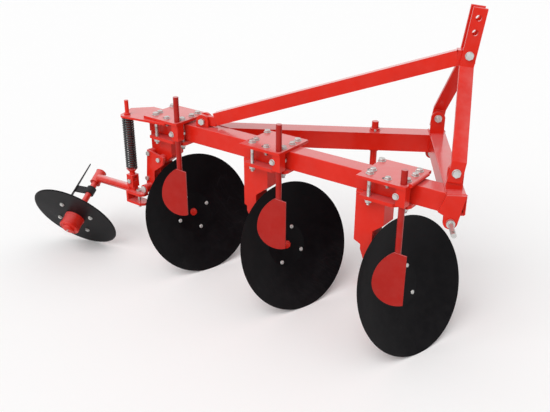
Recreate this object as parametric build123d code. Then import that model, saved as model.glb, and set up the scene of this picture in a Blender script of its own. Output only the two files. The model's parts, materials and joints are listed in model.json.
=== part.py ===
"""Mounted disc plough: three tilted discs under a slanting beam, a three-point
hitch and a sprung furrow wheel. Millimetres, X forward, Y left, Z up, ground at z = 0.
"""
import os
from math import atan2, cos, degrees, radians, sin, tan

from build123d import *

# Discs and their stations along the beam
UNIT_SPACING = 657.0
BEAM_ANGLE = 31.1          # between the beam and the direction of travel
DISC_ANGLE = 42.5          # between a disc's face and the direction of travel
DISC_TILT = 17.9           # lean of a disc from upright
DISC_DIAMETER = 660.0
DISC_DEPTH = 72.0
DISC_SPHERE = 720.0        # radius of the dished ring
DISC_FLAT = 224.0          # flat seat in the middle of the dish
DISC_THICKNESS = 6.0
DISC_EDGE = 12.0           # sharpened ring on the outside
DISC_TOP_BACK = 22.3       # top of the rim behind the station, along the beam
DISC_LEFT = 87.0           # rim centre left of the beam's centre line
UNITS = (                  # name, clamp ahead of station, scraper rod over beam, blade under beam
    ("front", -15.0, 78.0, 209.0),
    ("middle", 4.0, 142.0, 131.0),
    ("rear", 20.0, 155.0, 137.0),
)

# Hub that turns with a disc, and the bearing housing behind it
HUB_FLANGE = 216.0
HUB_FLANGE_THICKNESS = 12.0
SPINDLE = 50.0
SPINDLE_LENGTH = 120.0
HOUSING = 118.0
HOUSING_GAP = 8.0
HOUSING_CAP = 16.0
RUNNING_CLEARANCE = 0.06
FIT_CLEARANCE = 0.4
CUT_THROUGH = 1.0          # cuts run this far past a face

# Square tubes of the frame
BEAM_SIDE = 90.0
BEAM_WALL = 8.0
BEAM_OVER_DISCS = 160.0    # beams above the tops of the discs
BEAM_REAR = 140.0          # beam behind the last station
CROSS_WIDTH = 80.0
CROSS_BACK = 192.0         # rear face of the cross beam ahead of the front station
HITCH_SPREAD = 825.0       # over the outer faces of the hitch plates
HITCH_CENTRE = 217.0       # hitch centre line left of the front station

# Hitch plates and lower link pins
HITCH_PLATE = 16.0
HITCH_PIN = 22.0
HITCH_PIN_LENGTH = 118.0
HITCH_PIN_DROP = 30.0      # pin axis below the beams
HITCH_PIN_BACK = 15.0      # pin axis behind the middle of the cross beam
HITCH_EYE = 30.0           # radius of the plate round the pin
HITCH_EAR = 30.0           # right plate behind the cross beam, beside the main beam
HITCH_COLLAR = 36.0
HITCH_COLLAR_LENGTH = 16.0
LINCH_HOLE = 11.0
LINCH_INSET = 16.0

# Mast of two bent straps
STRAP_WIDTH = 60.0
STRAP_THICKNESS = 16.0
MAST_LEAN = 7.4
MAST_BACK = 6.0            # mast behind the middle of the cross beam
MAST_FOOT_SPREAD = 724.0   # over the strap centres at the lower bolts
MAST_GAP = 50.0            # between the straps at the top
MAST_BOLT_HEIGHT = 80.0    # lower bolts above the beams
MAST_FOOT = 38.0           # strap below its lower bolt
MAST_LOWER_BEND = 46.0     # heights along the mast above the lower bolt
MAST_UPPER_BEND = 352.0
MAST_STAY_BOLT = 401.0
MAST_LINK_HOLES = (498.0, 558.0)
MAST_TOP = 592.0
LINK_HOLE = 25.6
MAST_BOLT = 20.0
LUG_THICKNESS = 16.0
LUG_RADIUS = 34.0

# Bolts: head and nut across flats and the head's height, in shank diameters
ACROSS_FLATS = 1.5
HEAD_HEIGHT = 0.65
NUT_HEIGHT = 14.0
BOLT_END = 12.0            # shank past its nut

# Stay from the mast to the rear of the beam
STAY_HEIGHT = 64.0
STAY_WIDTH = 46.0
STAY_FORWARD = 220.0       # rear bolt ahead of the last station
STAY_BOLT_HEIGHT = 30.0    # rear bolt above the beam
STAY_TONGUE = 24.0
STAY_TONGUE_LENGTH = 70.0
STAY_TAIL_RISE = 16.0      # tube's rear end above the rear bolt
STAY_NOSE_BACK = 34.0      # tube's front end behind and below the mast's bolt
STAY_NOSE_FALL = 12.2
STAY_NOSE_UNDER = 38.0     # nose below and above the mast's bolt
STAY_NOSE_OVER = 20.0
STAY_NOSE_LAP = 12.0       # nose inside the tube's end

# Clamp that holds a disc unit on the beam
CLAMP_FORWARD = 126.0
CLAMP_REARWARD = 108.0
CLAMP_RIGHT = 128.0
CLAMP_LEFT = 108.0
TOP_PLATE = 14.0
LOWER_PLATE = 16.0
LOWER_RIGHT = 95.0
LOWER_SHOULDER = 56.0      # lower plate narrows ahead of this, beside the scraper rod
LOWER_EAR = 76.0
LOWER_CHAMFER = 20.0
CLAMP_BOLT = 18.0
CLAMP_BOLTS = (            # forward, left of the clamp's centre
    (-100.0, 80.0),
    (-68.0, -80.0),
    (90.0, 68.0),
    (98.0, -58.0),
)
EDGE_BAR = 18.0            # round bar along the front edge of the first top plate
EDGE_BAR_SINK = 2.0
EDGE_BAR_RIGHT = 100.0
EDGE_BAR_LEFT = 60.0

# Leg of a disc unit
LEG_LENGTH = 145.0         # along the beam
LEG_REARWARD = 150.0       # rear face behind the clamp's centre
LEG_WIDTH = 90.0
LEG_STEP = 72.0            # lower front face behind the station, clear of the disc
LEG_STEP_DROP = 183.0      # its upper end below the beam
LEG_SHOULDER_SLOPE = 38.3
LEG_FOOT_DROP = 250.0      # rear corner of the foot below the beam
LEG_FOOT_SLOPE = 23.0
ARM_DEPTH = 58.0
ARM_TOP = 25.0             # arm's upper edge below the step
ARM_MEETS = (              # left, up from the housing's centre in shares of its radius
    (0.5, 0.8),
    (0.0, 0.0),
    (-0.7, -0.6),
)

# Scraper in front of each disc
SCRAPER_ROD = 28.0
SCRAPER_FORWARD = 101.0
SCRAPER_RIGHT = 97.0
SCRAPER_HEADING = 12.0     # blade's turn from the direction of travel
SCRAPER_BLADE = 8.0
SCRAPER_HEIGHT = 270.0
SCRAPER_WIDEST = 160.0     # widest point below the blade's top
SCRAPER_REAR = 102.0
SCRAPER_FRONT = 41.0
SCRAPER_SHOULDER = 12.0    # front corner below the top
SCRAPER_TOE = 14.0         # front corner above the bottom
SCRAPER_LAP = 70.0         # rod behind the blade
SCRAPER_WELD = 3.0         # rod sunk into the blade's back
SCRAPER_BLOCK = 44.0
SCRAPER_BLOCK_HEIGHT = 84.0

# Parking stand through the brace
STAND_FORWARD = -76.0      # from the front station
STAND_ROD = 34.0
STAND_PROUD = 48.0
STAND_FOOT = 84.0
STAND_FOOT_THICKNESS = 10.0
STAND_SLEEVE_WALL = 8.0
STAND_SLEEVE_PROUD = 14.0

# Furrow wheel
WHEEL_DIAMETER = 514.0
WHEEL_THICKNESS = 8.0
WHEEL_BEVEL = 9.0
WHEEL_TOE = 16.7           # hub side turned rearward from straight right
WHEEL_LEAN = 30.6          # hub side turned down
WHEEL_BACK = 642.0         # wheel centre behind the last station
WHEEL_LEFT = 93.0          # wheel centre left of it
WHEEL_HUB = 112.0
WHEEL_HUB_LENGTH = 78.0
WHEEL_SPIGOT = 80.0        # hub through the wheel disc
WHEEL_FLANGE = 276.0       # hub flange behind the wheel disc
WHEEL_FLANGE_THICKNESS = 10.0
WHEEL_CAP = 12.0
WHEEL_CAP_DIAMETER = 68.0
AXLE = 36.0
AXLE_LENGTH = 345.0
AXLE_INSIDE = 60.0         # axle inside the hub
AXLE_END_GAP = 5.0
AXLE_COLLAR = 56.0
AXLE_COLLAR_LENGTH = 18.0
AXLE_COLLAR_GAP = 6.0

# Sprung arm that carries the furrow wheel
SPRING_BACK = 203.0        # spring rod behind the last station, along the beam
SPRING_RIGHT = 136.0
SPRING_PLATE = 12.0
SPRING_PLATE_END = 36.0
SPRING_PLATE_FRONT = 60.0
SPRING_PLATE_TAIL = 50.0   # plate behind the beam's end
SPRING_PLATE_BACK = 70.0   # and behind the spring rod
SPRING_ROD = 22.0
SPRING_ROD_PROUD = 90.0    # rod above the beam
SPRING_COLLAR = 34.0
SPRING_COLLAR_HEIGHT = 10.0
SPRING_OUTSIDE = 62.0
SPRING_WIRE = 8.0
SPRING_DROP = 202.0        # lower end of the spring below the beam
SPRING_TURNS = 22
SEAT_HEIGHT = 20.0         # cone under the spring
SEAT_NECK = 30.0
SEAT_NECK_HEIGHT = 14.0
CLEVIS_PIN_INSET = 26.0    # clevis pin below the top of its slot
CLEVIS_DEPTH = 36.0
CLEVIS_WIDTH = 46.0
CLEVIS_CHEEK = 9.0
CLEVIS_PIN = 18.0
CLEVIS_LUG = 22.0          # half length of the lug in the clevis
PIN_HEAD = 1.35            # round pin heads, in pin diameters
PIN_HEAD_HEIGHT = 9.0
SOCKET_ALONG = 293.0       # arm's socket along the axle from the wheel
SOCKET = 60.0
SOCKET_LENGTH = 84.0
ARM_TUBE = 47.0
ARM_TUBE_DROP = 52.0       # tube's end below the clevis pin
ARM_TUBE_BEHIND = 8.0      # and behind it
YOKE_TOP_DROP = 57.0       # channel's top below the clevis pin
YOKE_HEIGHT = 68.0
YOKE_WIDTH = 68.0
YOKE_PLATE = 14.0
YOKE_BEHIND = 26.0         # channel behind and ahead of the clevis pin
YOKE_AHEAD = 97.0
YOKE_CHAMFER = 20.0
YOKE_BOLT = 16.0
YOKE_BOLT_AHEAD = 40.0
PIVOT_AHEAD = 81.0         # arm's pivot ahead of and below the clevis pin
PIVOT_DROP = 37.0
PIVOT_TUBE = 50.0
PIVOT_NEAR = 132.0         # near end of the pivot tube, right of the beam's centre
PIVOT_PIN = 28.0
PIVOT_EYE = 64.0
LINK_STAND_OFF = 25.0      # plate off the leg's face
LINK_PLATE = 14.0
LINK_OUTLINE = (           # upper corners: back from the last station, below the beam
    (130.0, 94.0),
    (10.0, 117.0),
    (20.0, 162.0),
    (84.0, 208.0),
)
LINK_BOLT = 16.0
LINK_BOSS = 44.0
LINK_BOLTS = (             # back, below the beam, boss against the leg
    (119.0, 113.0, True),
    (45.0, 134.0, True),
    (139.0, 261.0, False),
)

# Scraper of the furrow wheel
BLADE_LENGTH = 360.0
BLADE_WIDTH = 52.0
BLADE_TIP = 10.0
BLADE_THICKNESS = 6.0
BLADE_GAP = 7.0
BLADE_OUT = 104.0          # blade from the axle
BLADE_TURN = 62.0          # blade's turn from the wheel's radius
BLADE_STRAP = 190.0        # middle of its strap from the wheel
BLADE_STRAP_WIDTH = 44.0
BLADE_STRAP_THICKNESS = 10.0
BLADE_RING_WALL = 10.0

# Places worked out from the sizes above
RIM_HEIGHT = DISC_DIAMETER / 2 * cos(radians(DISC_TILT))
DISC_HEADING = BEAM_ANGLE + DISC_ANGLE - 90
RIM_LEAN = DISC_DIAMETER / 2 * sin(radians(DISC_TILT)) * cos(radians(DISC_HEADING))
DISC_FORWARD = RIM_LEAN - DISC_TOP_BACK
DISC_BACK = DISC_DEPTH + DISC_THICKNESS
BEAM_BOTTOM = 2 * RIM_HEIGHT + BEAM_OVER_DISCS
BEAM_TOP = BEAM_BOTTOM + BEAM_SIDE
SEAT_LOW = BEAM_BOTTOM - LOWER_PLATE
HALF_BEAM = BEAM_SIDE / 2
CROSS_X = CROSS_BACK + CROSS_WIDTH / 2
HITCH_PIN_X = CROSS_X - HITCH_PIN_BACK
HITCH_PIN_Z = BEAM_BOTTOM - HITCH_PIN_DROP
BRACE_Y = HITCH_CENTRE + HITCH_SPREAD / 2 - HALF_BEAM
HOUSING_FRONT = DISC_BACK + HUB_FLANGE_THICKNESS + HOUSING_GAP
HOUSING_LENGTH = SPINDLE_LENGTH + HOUSING_CAP
MAST_X = CROSS_X - MAST_BACK
MAST_BOLT_Z = BEAM_TOP + MAST_BOLT_HEIGHT
STRAP_TOP_OFFSET = (MAST_GAP + STRAP_THICKNESS) / 2
SPRING_BOTTOM = BEAM_BOTTOM - SPRING_DROP
CLEVIS_TOP = SPRING_BOTTOM - SEAT_HEIGHT - SEAT_NECK_HEIGHT
CLEVIS_PIN_Z = CLEVIS_TOP - CLEVIS_CHEEK - CLEVIS_PIN_INSET
CLEVIS_TONGUE = CLEVIS_WIDTH - 2 * CLEVIS_CHEEK - 2 * FIT_CLEARANCE
YOKE_TOP = CLEVIS_PIN_Z - YOKE_TOP_DROP
PIVOT_X = PIVOT_AHEAD - SPRING_BACK
PIVOT_Z = CLEVIS_PIN_Z - PIVOT_DROP
LINK_INNER = LEG_WIDTH / 2 + LINK_STAND_OFF
LINK_OUTER = LINK_INNER + LINK_PLATE
WHEEL_FLANGE_BACK = WHEEL_THICKNESS / 2 + WHEEL_FLANGE_THICKNESS


def unit_place(index):
    """Frame of one disc's station: X forward along the beam, Y left, on the ground."""
    back = index * UNIT_SPACING
    turn = radians(BEAM_ANGLE)
    return Location((-back * cos(turn), back * sin(turn), 0), (0, 0, -BEAM_ANGLE))


LAST_INDEX = len(UNITS) - 1
LAST = unit_place(LAST_INDEX)


def clamp_place(index):
    """Frame of a unit's clamp, which is set along the beam a little from its station."""
    return unit_place(index) * Pos(UNITS[index][1], 0, 0)


def clamp_seat(index):
    """Height of a top plate's underside; the last one lies on the spring's plate."""
    return BEAM_TOP + (SPRING_PLATE if index == LAST_INDEX else 0)


def joined(solids):
    """One shape from several."""
    solids = list(solids)
    whole = solids[0]
    for solid in solids[1:]:
        whole += solid
    return whole


def block(x0, x1, y0, y1, z0, z1):
    """Box between two corners."""
    middle = Pos((x0 + x1) / 2, (y0 + y1) / 2, (z0 + z1) / 2)
    return middle * Box(x1 - x0, y1 - y0, z1 - z0)


def bar(start, end, diameter):
    """Round bar between two points."""
    start, end = Vector(start), Vector(end)
    along = end - start
    return Location(Plane(start, z_dir=along)) * Cylinder(
        diameter / 2, along.length, align=(Align.CENTER, Align.CENTER, Align.MIN)
    )


def slab(points, z0, z1):
    """Flat plate with a cornered outline."""
    return Pos(0, 0, z0) * extrude(make_face(Polyline(*points, close=True)), z1 - z0)


def upright(points, y0, y1):
    """Plate with an (x, z) outline between two values of y."""
    sheet = make_face(Plane.XZ * Polyline(*points, close=True))
    return Pos(0, y0, 0) * extrude(sheet, y1 - y0, dir=(0, 1, 0))


def hexagon(diameter, height):
    """Bolt head or nut for a shank, standing on its seat."""
    return extrude(RegularPolygon(diameter * ACROSS_FLATS / 2, 6, major_radius=False), height)


def hex_bolt(diameter, grip, place):
    """Through bolt along local -Z with its head's seat at the place's origin."""
    end = grip + NUT_HEIGHT + BOLT_END
    bolt = hexagon(diameter, diameter * HEAD_HEIGHT) + bar((0, 0, -end), (0, 0, 0), diameter)
    return place * (bolt + Pos(0, 0, -grip - NUT_HEIGHT) * hexagon(diameter, NUT_HEIGHT))


def main_beam():
    rear = -LAST_INDEX * UNIT_SPACING - BEAM_REAR
    reach = (CROSS_BACK + BEAM_SIDE) / cos(radians(BEAM_ANGLE))
    tube = block(rear, reach, -HALF_BEAM, HALF_BEAM, BEAM_BOTTOM, BEAM_TOP)
    inside = HALF_BEAM - BEAM_WALL
    tube -= block(
        rear + BEAM_WALL, reach, -inside, inside, BEAM_BOTTOM + BEAM_WALL, BEAM_TOP - BEAM_WALL
    )
    ahead = block(CROSS_BACK, CROSS_BACK + reach, -reach, reach, 0, 2 * BEAM_TOP)
    return unit_place(0) * tube - ahead


def brace_beam():
    rear = -len(UNITS) * UNIT_SPACING
    tube = block(
        rear, CROSS_BACK, BRACE_Y - HALF_BEAM, BRACE_Y + HALF_BEAM, BEAM_BOTTOM, BEAM_TOP
    )
    inside = HALF_BEAM - BEAM_WALL
    tube -= block(
        rear, CROSS_BACK, BRACE_Y - inside, BRACE_Y + inside,
        BEAM_BOTTOM + BEAM_WALL, BEAM_TOP - BEAM_WALL,
    )
    reach = len(UNITS) * UNIT_SPACING
    right_of_beam = unit_place(0) * block(-2 * reach, reach, -2 * reach, HALF_BEAM, 0, 2 * BEAM_TOP)
    sleeve_hole = Pos(STAND_FORWARD, BRACE_Y, BEAM_BOTTOM) * Cylinder(
        STAND_ROD / 2 + STAND_SLEEVE_WALL + FIT_CLEARANCE / 2, 4 * BEAM_SIDE
    )
    return tube - right_of_beam - sleeve_hole


def cross_beam():
    half = HITCH_SPREAD / 2 - HITCH_PLATE
    low, high = HITCH_CENTRE - half, HITCH_CENTRE + half
    tube = block(CROSS_BACK, CROSS_BACK + CROSS_WIDTH, low, high, BEAM_BOTTOM, BEAM_TOP)
    return tube - block(
        CROSS_BACK + BEAM_WALL, CROSS_BACK + CROSS_WIDTH - BEAM_WALL, low, high,
        BEAM_BOTTOM + BEAM_WALL, BEAM_TOP - BEAM_WALL,
    )


def hitch_plate(side):
    """End plate of the cross beam, with the eye of a lower link pin."""
    outer = HITCH_CENTRE + side * HITCH_SPREAD / 2
    inner = outer - side * HITCH_PLATE
    low, high = min(outer, inner), max(outer, inner)
    front = CROSS_BACK + CROSS_WIDTH
    ear = HITCH_EAR if side < 0 else 0
    plate = upright(
        (
            (CROSS_BACK, BEAM_TOP),
            (front, BEAM_TOP),
            (HITCH_PIN_X + HITCH_EYE, HITCH_PIN_Z),
            (HITCH_PIN_X - HITCH_EYE, HITCH_PIN_Z),
            (HITCH_PIN_X - HITCH_EYE, BEAM_BOTTOM),
            (CROSS_BACK - ear, BEAM_BOTTOM + ear / 2),
        ),
        low, high,
    )
    eye = bar((HITCH_PIN_X, low, HITCH_PIN_Z), (HITCH_PIN_X, high, HITCH_PIN_Z), 2 * HITCH_EYE)
    hole = bar(
        (HITCH_PIN_X, low - CUT_THROUGH, HITCH_PIN_Z),
        (HITCH_PIN_X, high + CUT_THROUGH, HITCH_PIN_Z), HITCH_PIN + FIT_CLEARANCE,
    )
    return plate + eye - hole


def lower_pin(side):
    """Lower link pin with its collar outside the plate and its nut inside."""
    outer = HITCH_CENTRE + side * HITCH_SPREAD / 2
    inner = outer - side * HITCH_PLATE
    tip = outer + side * HITCH_PIN_LENGTH
    end = inner - side * (NUT_HEIGHT + BOLT_END)

    def at(y):
        return (HITCH_PIN_X, y, HITCH_PIN_Z)

    pin = bar(at(end), at(tip), HITCH_PIN)
    pin += bar(at(outer), at(outer + side * HITCH_COLLAR_LENGTH), HITCH_COLLAR)
    pin += bar(at(inner), at(inner - side * NUT_HEIGHT), HITCH_COLLAR)
    hole_y = tip - side * LINCH_INSET
    drill = Pos(HITCH_PIN_X, hole_y, HITCH_PIN_Z) * Cylinder(LINCH_HOLE / 2, 2 * HITCH_PIN)
    return pin - drill


MAST = Location((MAST_X, HITCH_CENTRE, MAST_BOLT_Z), (0, MAST_LEAN, 0))


def across_mast(height, y0, y1, diameter):
    """Round bar across the mast at a height above its lower bolts."""
    return MAST * bar((0, y0, height), (0, y1, height), diameter)


def mast_strap(side):
    foot = MAST_FOOT_SPREAD / 2
    line = Polyline(
        (foot, -MAST_FOOT), (foot, MAST_LOWER_BEND),
        (STRAP_TOP_OFFSET, MAST_UPPER_BEND), (STRAP_TOP_OFFSET, MAST_TOP),
    )
    half = STRAP_THICKNESS / 2
    outline = offset(line, half, kind=Kind.INTERSECTION, side=Side.BOTH)
    sheet = Plane.YZ * make_face(outline.edges())
    strap = Pos(-STRAP_WIDTH / 2, 0, 0) * extrude(sheet, STRAP_WIDTH, dir=(1, 0, 0))
    if side < 0:
        strap = mirror(strap, Plane.XZ)
    strap = MAST * strap
    reach = side * MAST_FOOT_SPREAD
    for height in MAST_LINK_HOLES:
        strap -= across_mast(height, 0, reach, LINK_HOLE)
    for height in (0, MAST_STAY_BOLT):
        strap -= across_mast(height, 0, reach, MAST_BOLT + FIT_CLEARANCE)
    return strap


def mast_lugs():
    """Upright lugs on the cross beam, inside the feet of the straps."""
    lugs = []
    for side in (-1, 1):
        outer = HITCH_CENTRE + side * (MAST_FOOT_SPREAD - STRAP_THICKNESS) / 2
        inner = outer - side * LUG_THICKNESS
        low, high = min(outer, inner), max(outer, inner)
        lug = block(MAST_X - LUG_RADIUS, MAST_X + LUG_RADIUS, low, high, BEAM_TOP, MAST_BOLT_Z)
        lug += bar((MAST_X, low, MAST_BOLT_Z), (MAST_X, high, MAST_BOLT_Z), 2 * LUG_RADIUS)
        lugs.append(lug - bar(
            (MAST_X, low - CUT_THROUGH, MAST_BOLT_Z), (MAST_X, high + CUT_THROUGH, MAST_BOLT_Z),
            MAST_BOLT + FIT_CLEARANCE,
        ))
    return joined(lugs)


def mast_bolts():
    """Bolts at the feet of the straps, and the bolt that holds the stay."""
    grip = STRAP_THICKNESS + LUG_THICKNESS
    bolts = []
    for side in (-1, 1):
        seat = side * (MAST_FOOT_SPREAD + STRAP_THICKNESS) / 2
        place = MAST * Location(Plane((0, seat, 0), z_dir=(0, side, 0)))
        bolts.append(hex_bolt(MAST_BOLT, grip, place))
    seat = -(MAST_GAP / 2 + STRAP_THICKNESS)
    place = MAST * Location(Plane((0, seat, MAST_STAY_BOLT), z_dir=(0, -1, 0)))
    bolts.append(hex_bolt(MAST_BOLT, MAST_GAP + 2 * STRAP_THICKNESS, place))
    return joined(bolts)


def stay_ends():
    """Front and rear bolt points of the stay."""
    front = (MAST * Pos(0, 0, MAST_STAY_BOLT)).position
    rear = (LAST * Pos(STAY_FORWARD, 0, BEAM_TOP + STAY_BOLT_HEIGHT)).position
    return front, rear


def stay_rear_place():
    """Frame of the stay's rear bolt: X level along the stay, Z up."""
    front, rear = stay_ends()
    turn = degrees(atan2(front.Y - rear.Y, front.X - rear.X))
    return Location(rear, (0, 0, turn))


def top_stay():
    """Square tube with a nose between the mast's straps and a tongue at the rear bolt."""
    front, rear = stay_ends()
    tube_rear = (stay_rear_place() * Pos(STAY_TONGUE_LENGTH, 0, STAY_TAIL_RISE)).position
    tube_front = front - Vector(STAY_NOSE_BACK, 0, STAY_NOSE_FALL)
    along = tube_front - tube_rear
    level = Vector(-along.Y, along.X, 0)
    place = Location(Plane(tube_rear, x_dir=level, z_dir=along))
    tube = place * extrude(Rectangle(STAY_WIDTH, STAY_HEIGHT), along.length)
    nose = block(
        front.X - STAY_NOSE_BACK - STAY_NOSE_LAP, front.X + STRAP_WIDTH / 2,
        front.Y - MAST_GAP / 2, front.Y + MAST_GAP / 2,
        front.Z - STAY_NOSE_UNDER, front.Z + STAY_NOSE_OVER,
    )
    tail = stay_rear_place() * block(
        -STAY_TONGUE, STAY_TONGUE_LENGTH, -STAY_TONGUE / 2, STAY_TONGUE / 2,
        -STAY_TONGUE, STAY_TONGUE,
    )
    stay = tube + nose + tail
    stay -= across_mast(MAST_STAY_BOLT, -MAST_GAP, MAST_GAP, MAST_BOLT + FIT_CLEARANCE)
    return stay - stay_rear_place() * bar(
        (0, -STAY_WIDTH, 0), (0, STAY_WIDTH, 0), MAST_BOLT + FIT_CLEARANCE
    )


def stay_lugs():
    """Pair of lugs on the beam that take the stay's rear bolt."""
    lugs = []
    for side in (-1, 1):
        low = min(side * STAY_TONGUE / 2, side * (STAY_TONGUE / 2 + LUG_THICKNESS))
        high = low + LUG_THICKNESS
        lug = block(-LUG_RADIUS, LUG_RADIUS, low, high, -STAY_BOLT_HEIGHT, 0)
        lug += bar((0, low, 0), (0, high, 0), 2 * LUG_RADIUS)
        lug -= bar((0, low - CUT_THROUGH, 0), (0, high + CUT_THROUGH, 0), MAST_BOLT + FIT_CLEARANCE)
        lugs.append(lug - block(-LUG_RADIUS, LUG_RADIUS, low, high, -BEAM_SIDE, -STAY_BOLT_HEIGHT))
    return stay_rear_place() * joined(lugs)


def stay_bolt():
    seat = STAY_TONGUE / 2 + LUG_THICKNESS
    place = stay_rear_place() * Location(Plane((0, -seat, 0), z_dir=(0, -1, 0)))
    return hex_bolt(MAST_BOLT, 2 * seat, place)


def rod_hole(z0, z1):
    """Clearance hole for a scraper rod, in its clamp's frame."""
    return bar(
        (SCRAPER_FORWARD, -SCRAPER_RIGHT, z0), (SCRAPER_FORWARD, -SCRAPER_RIGHT, z1),
        SCRAPER_ROD + 2 * FIT_CLEARANCE,
    )


def clamp_holes(z0, z1):
    """Clearance holes for the clamp bolts of one unit."""
    return joined(
        bar((forward, left, z0), (forward, left, z1), CLAMP_BOLT + 2 * FIT_CLEARANCE)
        for forward, left in CLAMP_BOLTS
    )


def top_plate(index):
    """Clamp plate over the beam; the first has a round bar along its front edge."""
    low = clamp_seat(index)
    high = low + TOP_PLATE
    plate = block(-CLAMP_REARWARD, CLAMP_FORWARD, -CLAMP_RIGHT, CLAMP_LEFT, low, high)
    plate -= clamp_holes(low - CUT_THROUGH, high + CUT_THROUGH)
    plate -= rod_hole(low - CUT_THROUGH, high + CUT_THROUGH)
    if index == 0:
        edge = CLAMP_FORWARD + EDGE_BAR / 2 - EDGE_BAR_SINK
        plate += bar((edge, -EDGE_BAR_RIGHT, high), (edge, EDGE_BAR_LEFT, high), EDGE_BAR)
    return clamp_place(index) * plate


def clamp_bolts(index):
    head_seat = clamp_seat(index) + TOP_PLATE
    return clamp_place(index) * joined(
        hex_bolt(CLAMP_BOLT, head_seat - SEAT_LOW, Location((forward, left, head_seat)))
        for forward, left in CLAMP_BOLTS
    )


def disc_axis():
    """Frame of a disc at its station: origin at the rim's centre, Z out of the hollow face."""
    heading, tilt = radians(DISC_HEADING), radians(DISC_TILT)
    face = Vector(cos(heading) * cos(tilt), sin(heading) * cos(tilt), sin(tilt))
    return Location(Plane((DISC_FORWARD, DISC_LEFT, RIM_HEIGHT), z_dir=face))


def ring(profile):
    """Solid turned round local Z from an (r, z) face."""
    return revolve(Plane.XZ * profile, Axis.Z)


def disc_blade(index):
    rim, flat = DISC_DIAMETER / 2, DISC_FLAT / 2
    edge_back = DISC_THICKNESS + DISC_EDGE * rim / DISC_SPHERE
    profile = make_face([
        Line((0, -DISC_DEPTH), (flat, -DISC_DEPTH)),
        RadiusArc((flat, -DISC_DEPTH), (rim, 0), -DISC_SPHERE),
        Line((rim, 0), (rim - DISC_EDGE, -edge_back)),
        RadiusArc((rim - DISC_EDGE, -edge_back), (flat, -DISC_BACK), DISC_SPHERE),
        Line((flat, -DISC_BACK), (0, -DISC_BACK)),
        Line((0, -DISC_BACK), (0, -DISC_DEPTH)),
    ])
    return unit_place(index) * disc_axis() * ring(profile)


def disc_hub(index):
    """Flange behind the disc, with the spindle."""
    flange_back = DISC_BACK + HUB_FLANGE_THICKNESS
    hub = bar((0, 0, -flange_back), (0, 0, -DISC_BACK), HUB_FLANGE)
    hub += bar((0, 0, -flange_back - SPINDLE_LENGTH), (0, 0, -flange_back), SPINDLE)
    return unit_place(index) * disc_axis() * hub


def leg_seat():
    """Plate under the beam, narrowed beside the scraper rod, in the clamp's frame."""
    half = LEG_WIDTH / 2
    seat = slab(
        (
            (-CLAMP_REARWARD, CLAMP_LEFT),
            (-CLAMP_REARWARD, -LOWER_RIGHT),
            (LOWER_SHOULDER, -LOWER_RIGHT),
            (LOWER_SHOULDER + LOWER_RIGHT - LOWER_EAR, -LOWER_EAR),
            (CLAMP_FORWARD - LOWER_CHAMFER / 2, -LOWER_EAR),
            (CLAMP_FORWARD, -LOWER_EAR + LOWER_CHAMFER),
            (CLAMP_FORWARD, CLAMP_LEFT),
        ),
        SEAT_LOW, BEAM_BOTTOM,
    )
    seat += block(-LEG_REARWARD, 0, -half, half, SEAT_LOW, BEAM_BOTTOM)
    return seat - clamp_holes(SEAT_LOW - CUT_THROUGH, BEAM_BOTTOM + CUT_THROUGH)


def leg(index):
    """Welded leg: seat plate under the beam, box column, arm and bearing housing."""
    ahead = UNITS[index][1]
    half = LEG_WIDTH / 2
    rear, step = ahead - LEG_REARWARD, -LEG_STEP
    front = rear + LEG_LENGTH
    step_top = BEAM_BOTTOM - LEG_STEP_DROP
    shoulder = step_top + (front - step) * tan(radians(LEG_SHOULDER_SLOPE))
    foot = BEAM_BOTTOM - LEG_FOOT_DROP
    step_foot = foot - (step - rear) * tan(radians(LEG_FOOT_SLOPE))
    column = upright(
        (
            (rear, SEAT_LOW), (front, SEAT_LOW), (front, shoulder),
            (step, step_top), (step, step_foot), (rear, foot),
        ),
        -half, half,
    )
    place = disc_axis()
    middle = (place * Pos(0, 0, -HOUSING_FRONT - HOUSING_LENGTH / 2)).position
    radius = HOUSING / 2
    arm_sheet = Plane.YZ * Polyline(
        (-half, step_top - ARM_TOP), (half, step_top - ARM_TOP),
        *[(middle.Y + left * radius, middle.Z + up * radius) for left, up in ARM_MEETS],
        (-half, step_foot), close=True,
    )
    arm = Pos(step - ARM_DEPTH, 0, 0) * extrude(make_face(arm_sheet), ARM_DEPTH, dir=(1, 0, 0))
    housing_end = HOUSING_FRONT + HOUSING_LENGTH
    housing = place * bar((0, 0, -housing_end), (0, 0, -HOUSING_FRONT), HOUSING)
    bore_end = HOUSING_FRONT + SPINDLE_LENGTH - HOUSING_GAP / 2
    bore = place * bar(
        (0, 0, -bore_end), (0, 0, CUT_THROUGH - HOUSING_FRONT), SPINDLE + 2 * RUNNING_CLEARANCE
    )
    solid = Pos(ahead, 0, 0) * leg_seat() + column + arm + housing - bore
    return unit_place(index) * solid


def scraper(index):
    """Round rod with a rounded blade on its lower end, in front of the disc."""
    rod_top = BEAM_TOP + UNITS[index][2]
    top = BEAM_BOTTOM - UNITS[index][3]
    widest = (SCRAPER_REAR, top - SCRAPER_WIDEST)
    crown = (SCRAPER_ROD / 2, top)
    shoulder = (-SCRAPER_FRONT, top - SCRAPER_SHOULDER)
    toe = (-SCRAPER_FRONT, top - SCRAPER_HEIGHT + SCRAPER_TOE)
    outline = make_face([
        Line(toe, shoulder),
        Line(shoulder, crown),
        TangentArc(widest, crown, tangent=(0, 1)),
        TangentArc(widest, toe, tangent=(0, -1)),
    ])
    back = SCRAPER_ROD / 2 - SCRAPER_WELD
    blade = Pos(0, back, 0) * extrude(Plane.XZ * outline, SCRAPER_BLADE, dir=(0, 1, 0))
    rod = bar((0, 0, top - SCRAPER_LAP), (0, 0, rod_top), SCRAPER_ROD)
    turn = 180 - SCRAPER_HEADING + BEAM_ANGLE
    place = Location((SCRAPER_FORWARD, -SCRAPER_RIGHT, 0), (0, 0, turn))
    return clamp_place(index) * place * (rod + blade)


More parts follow.
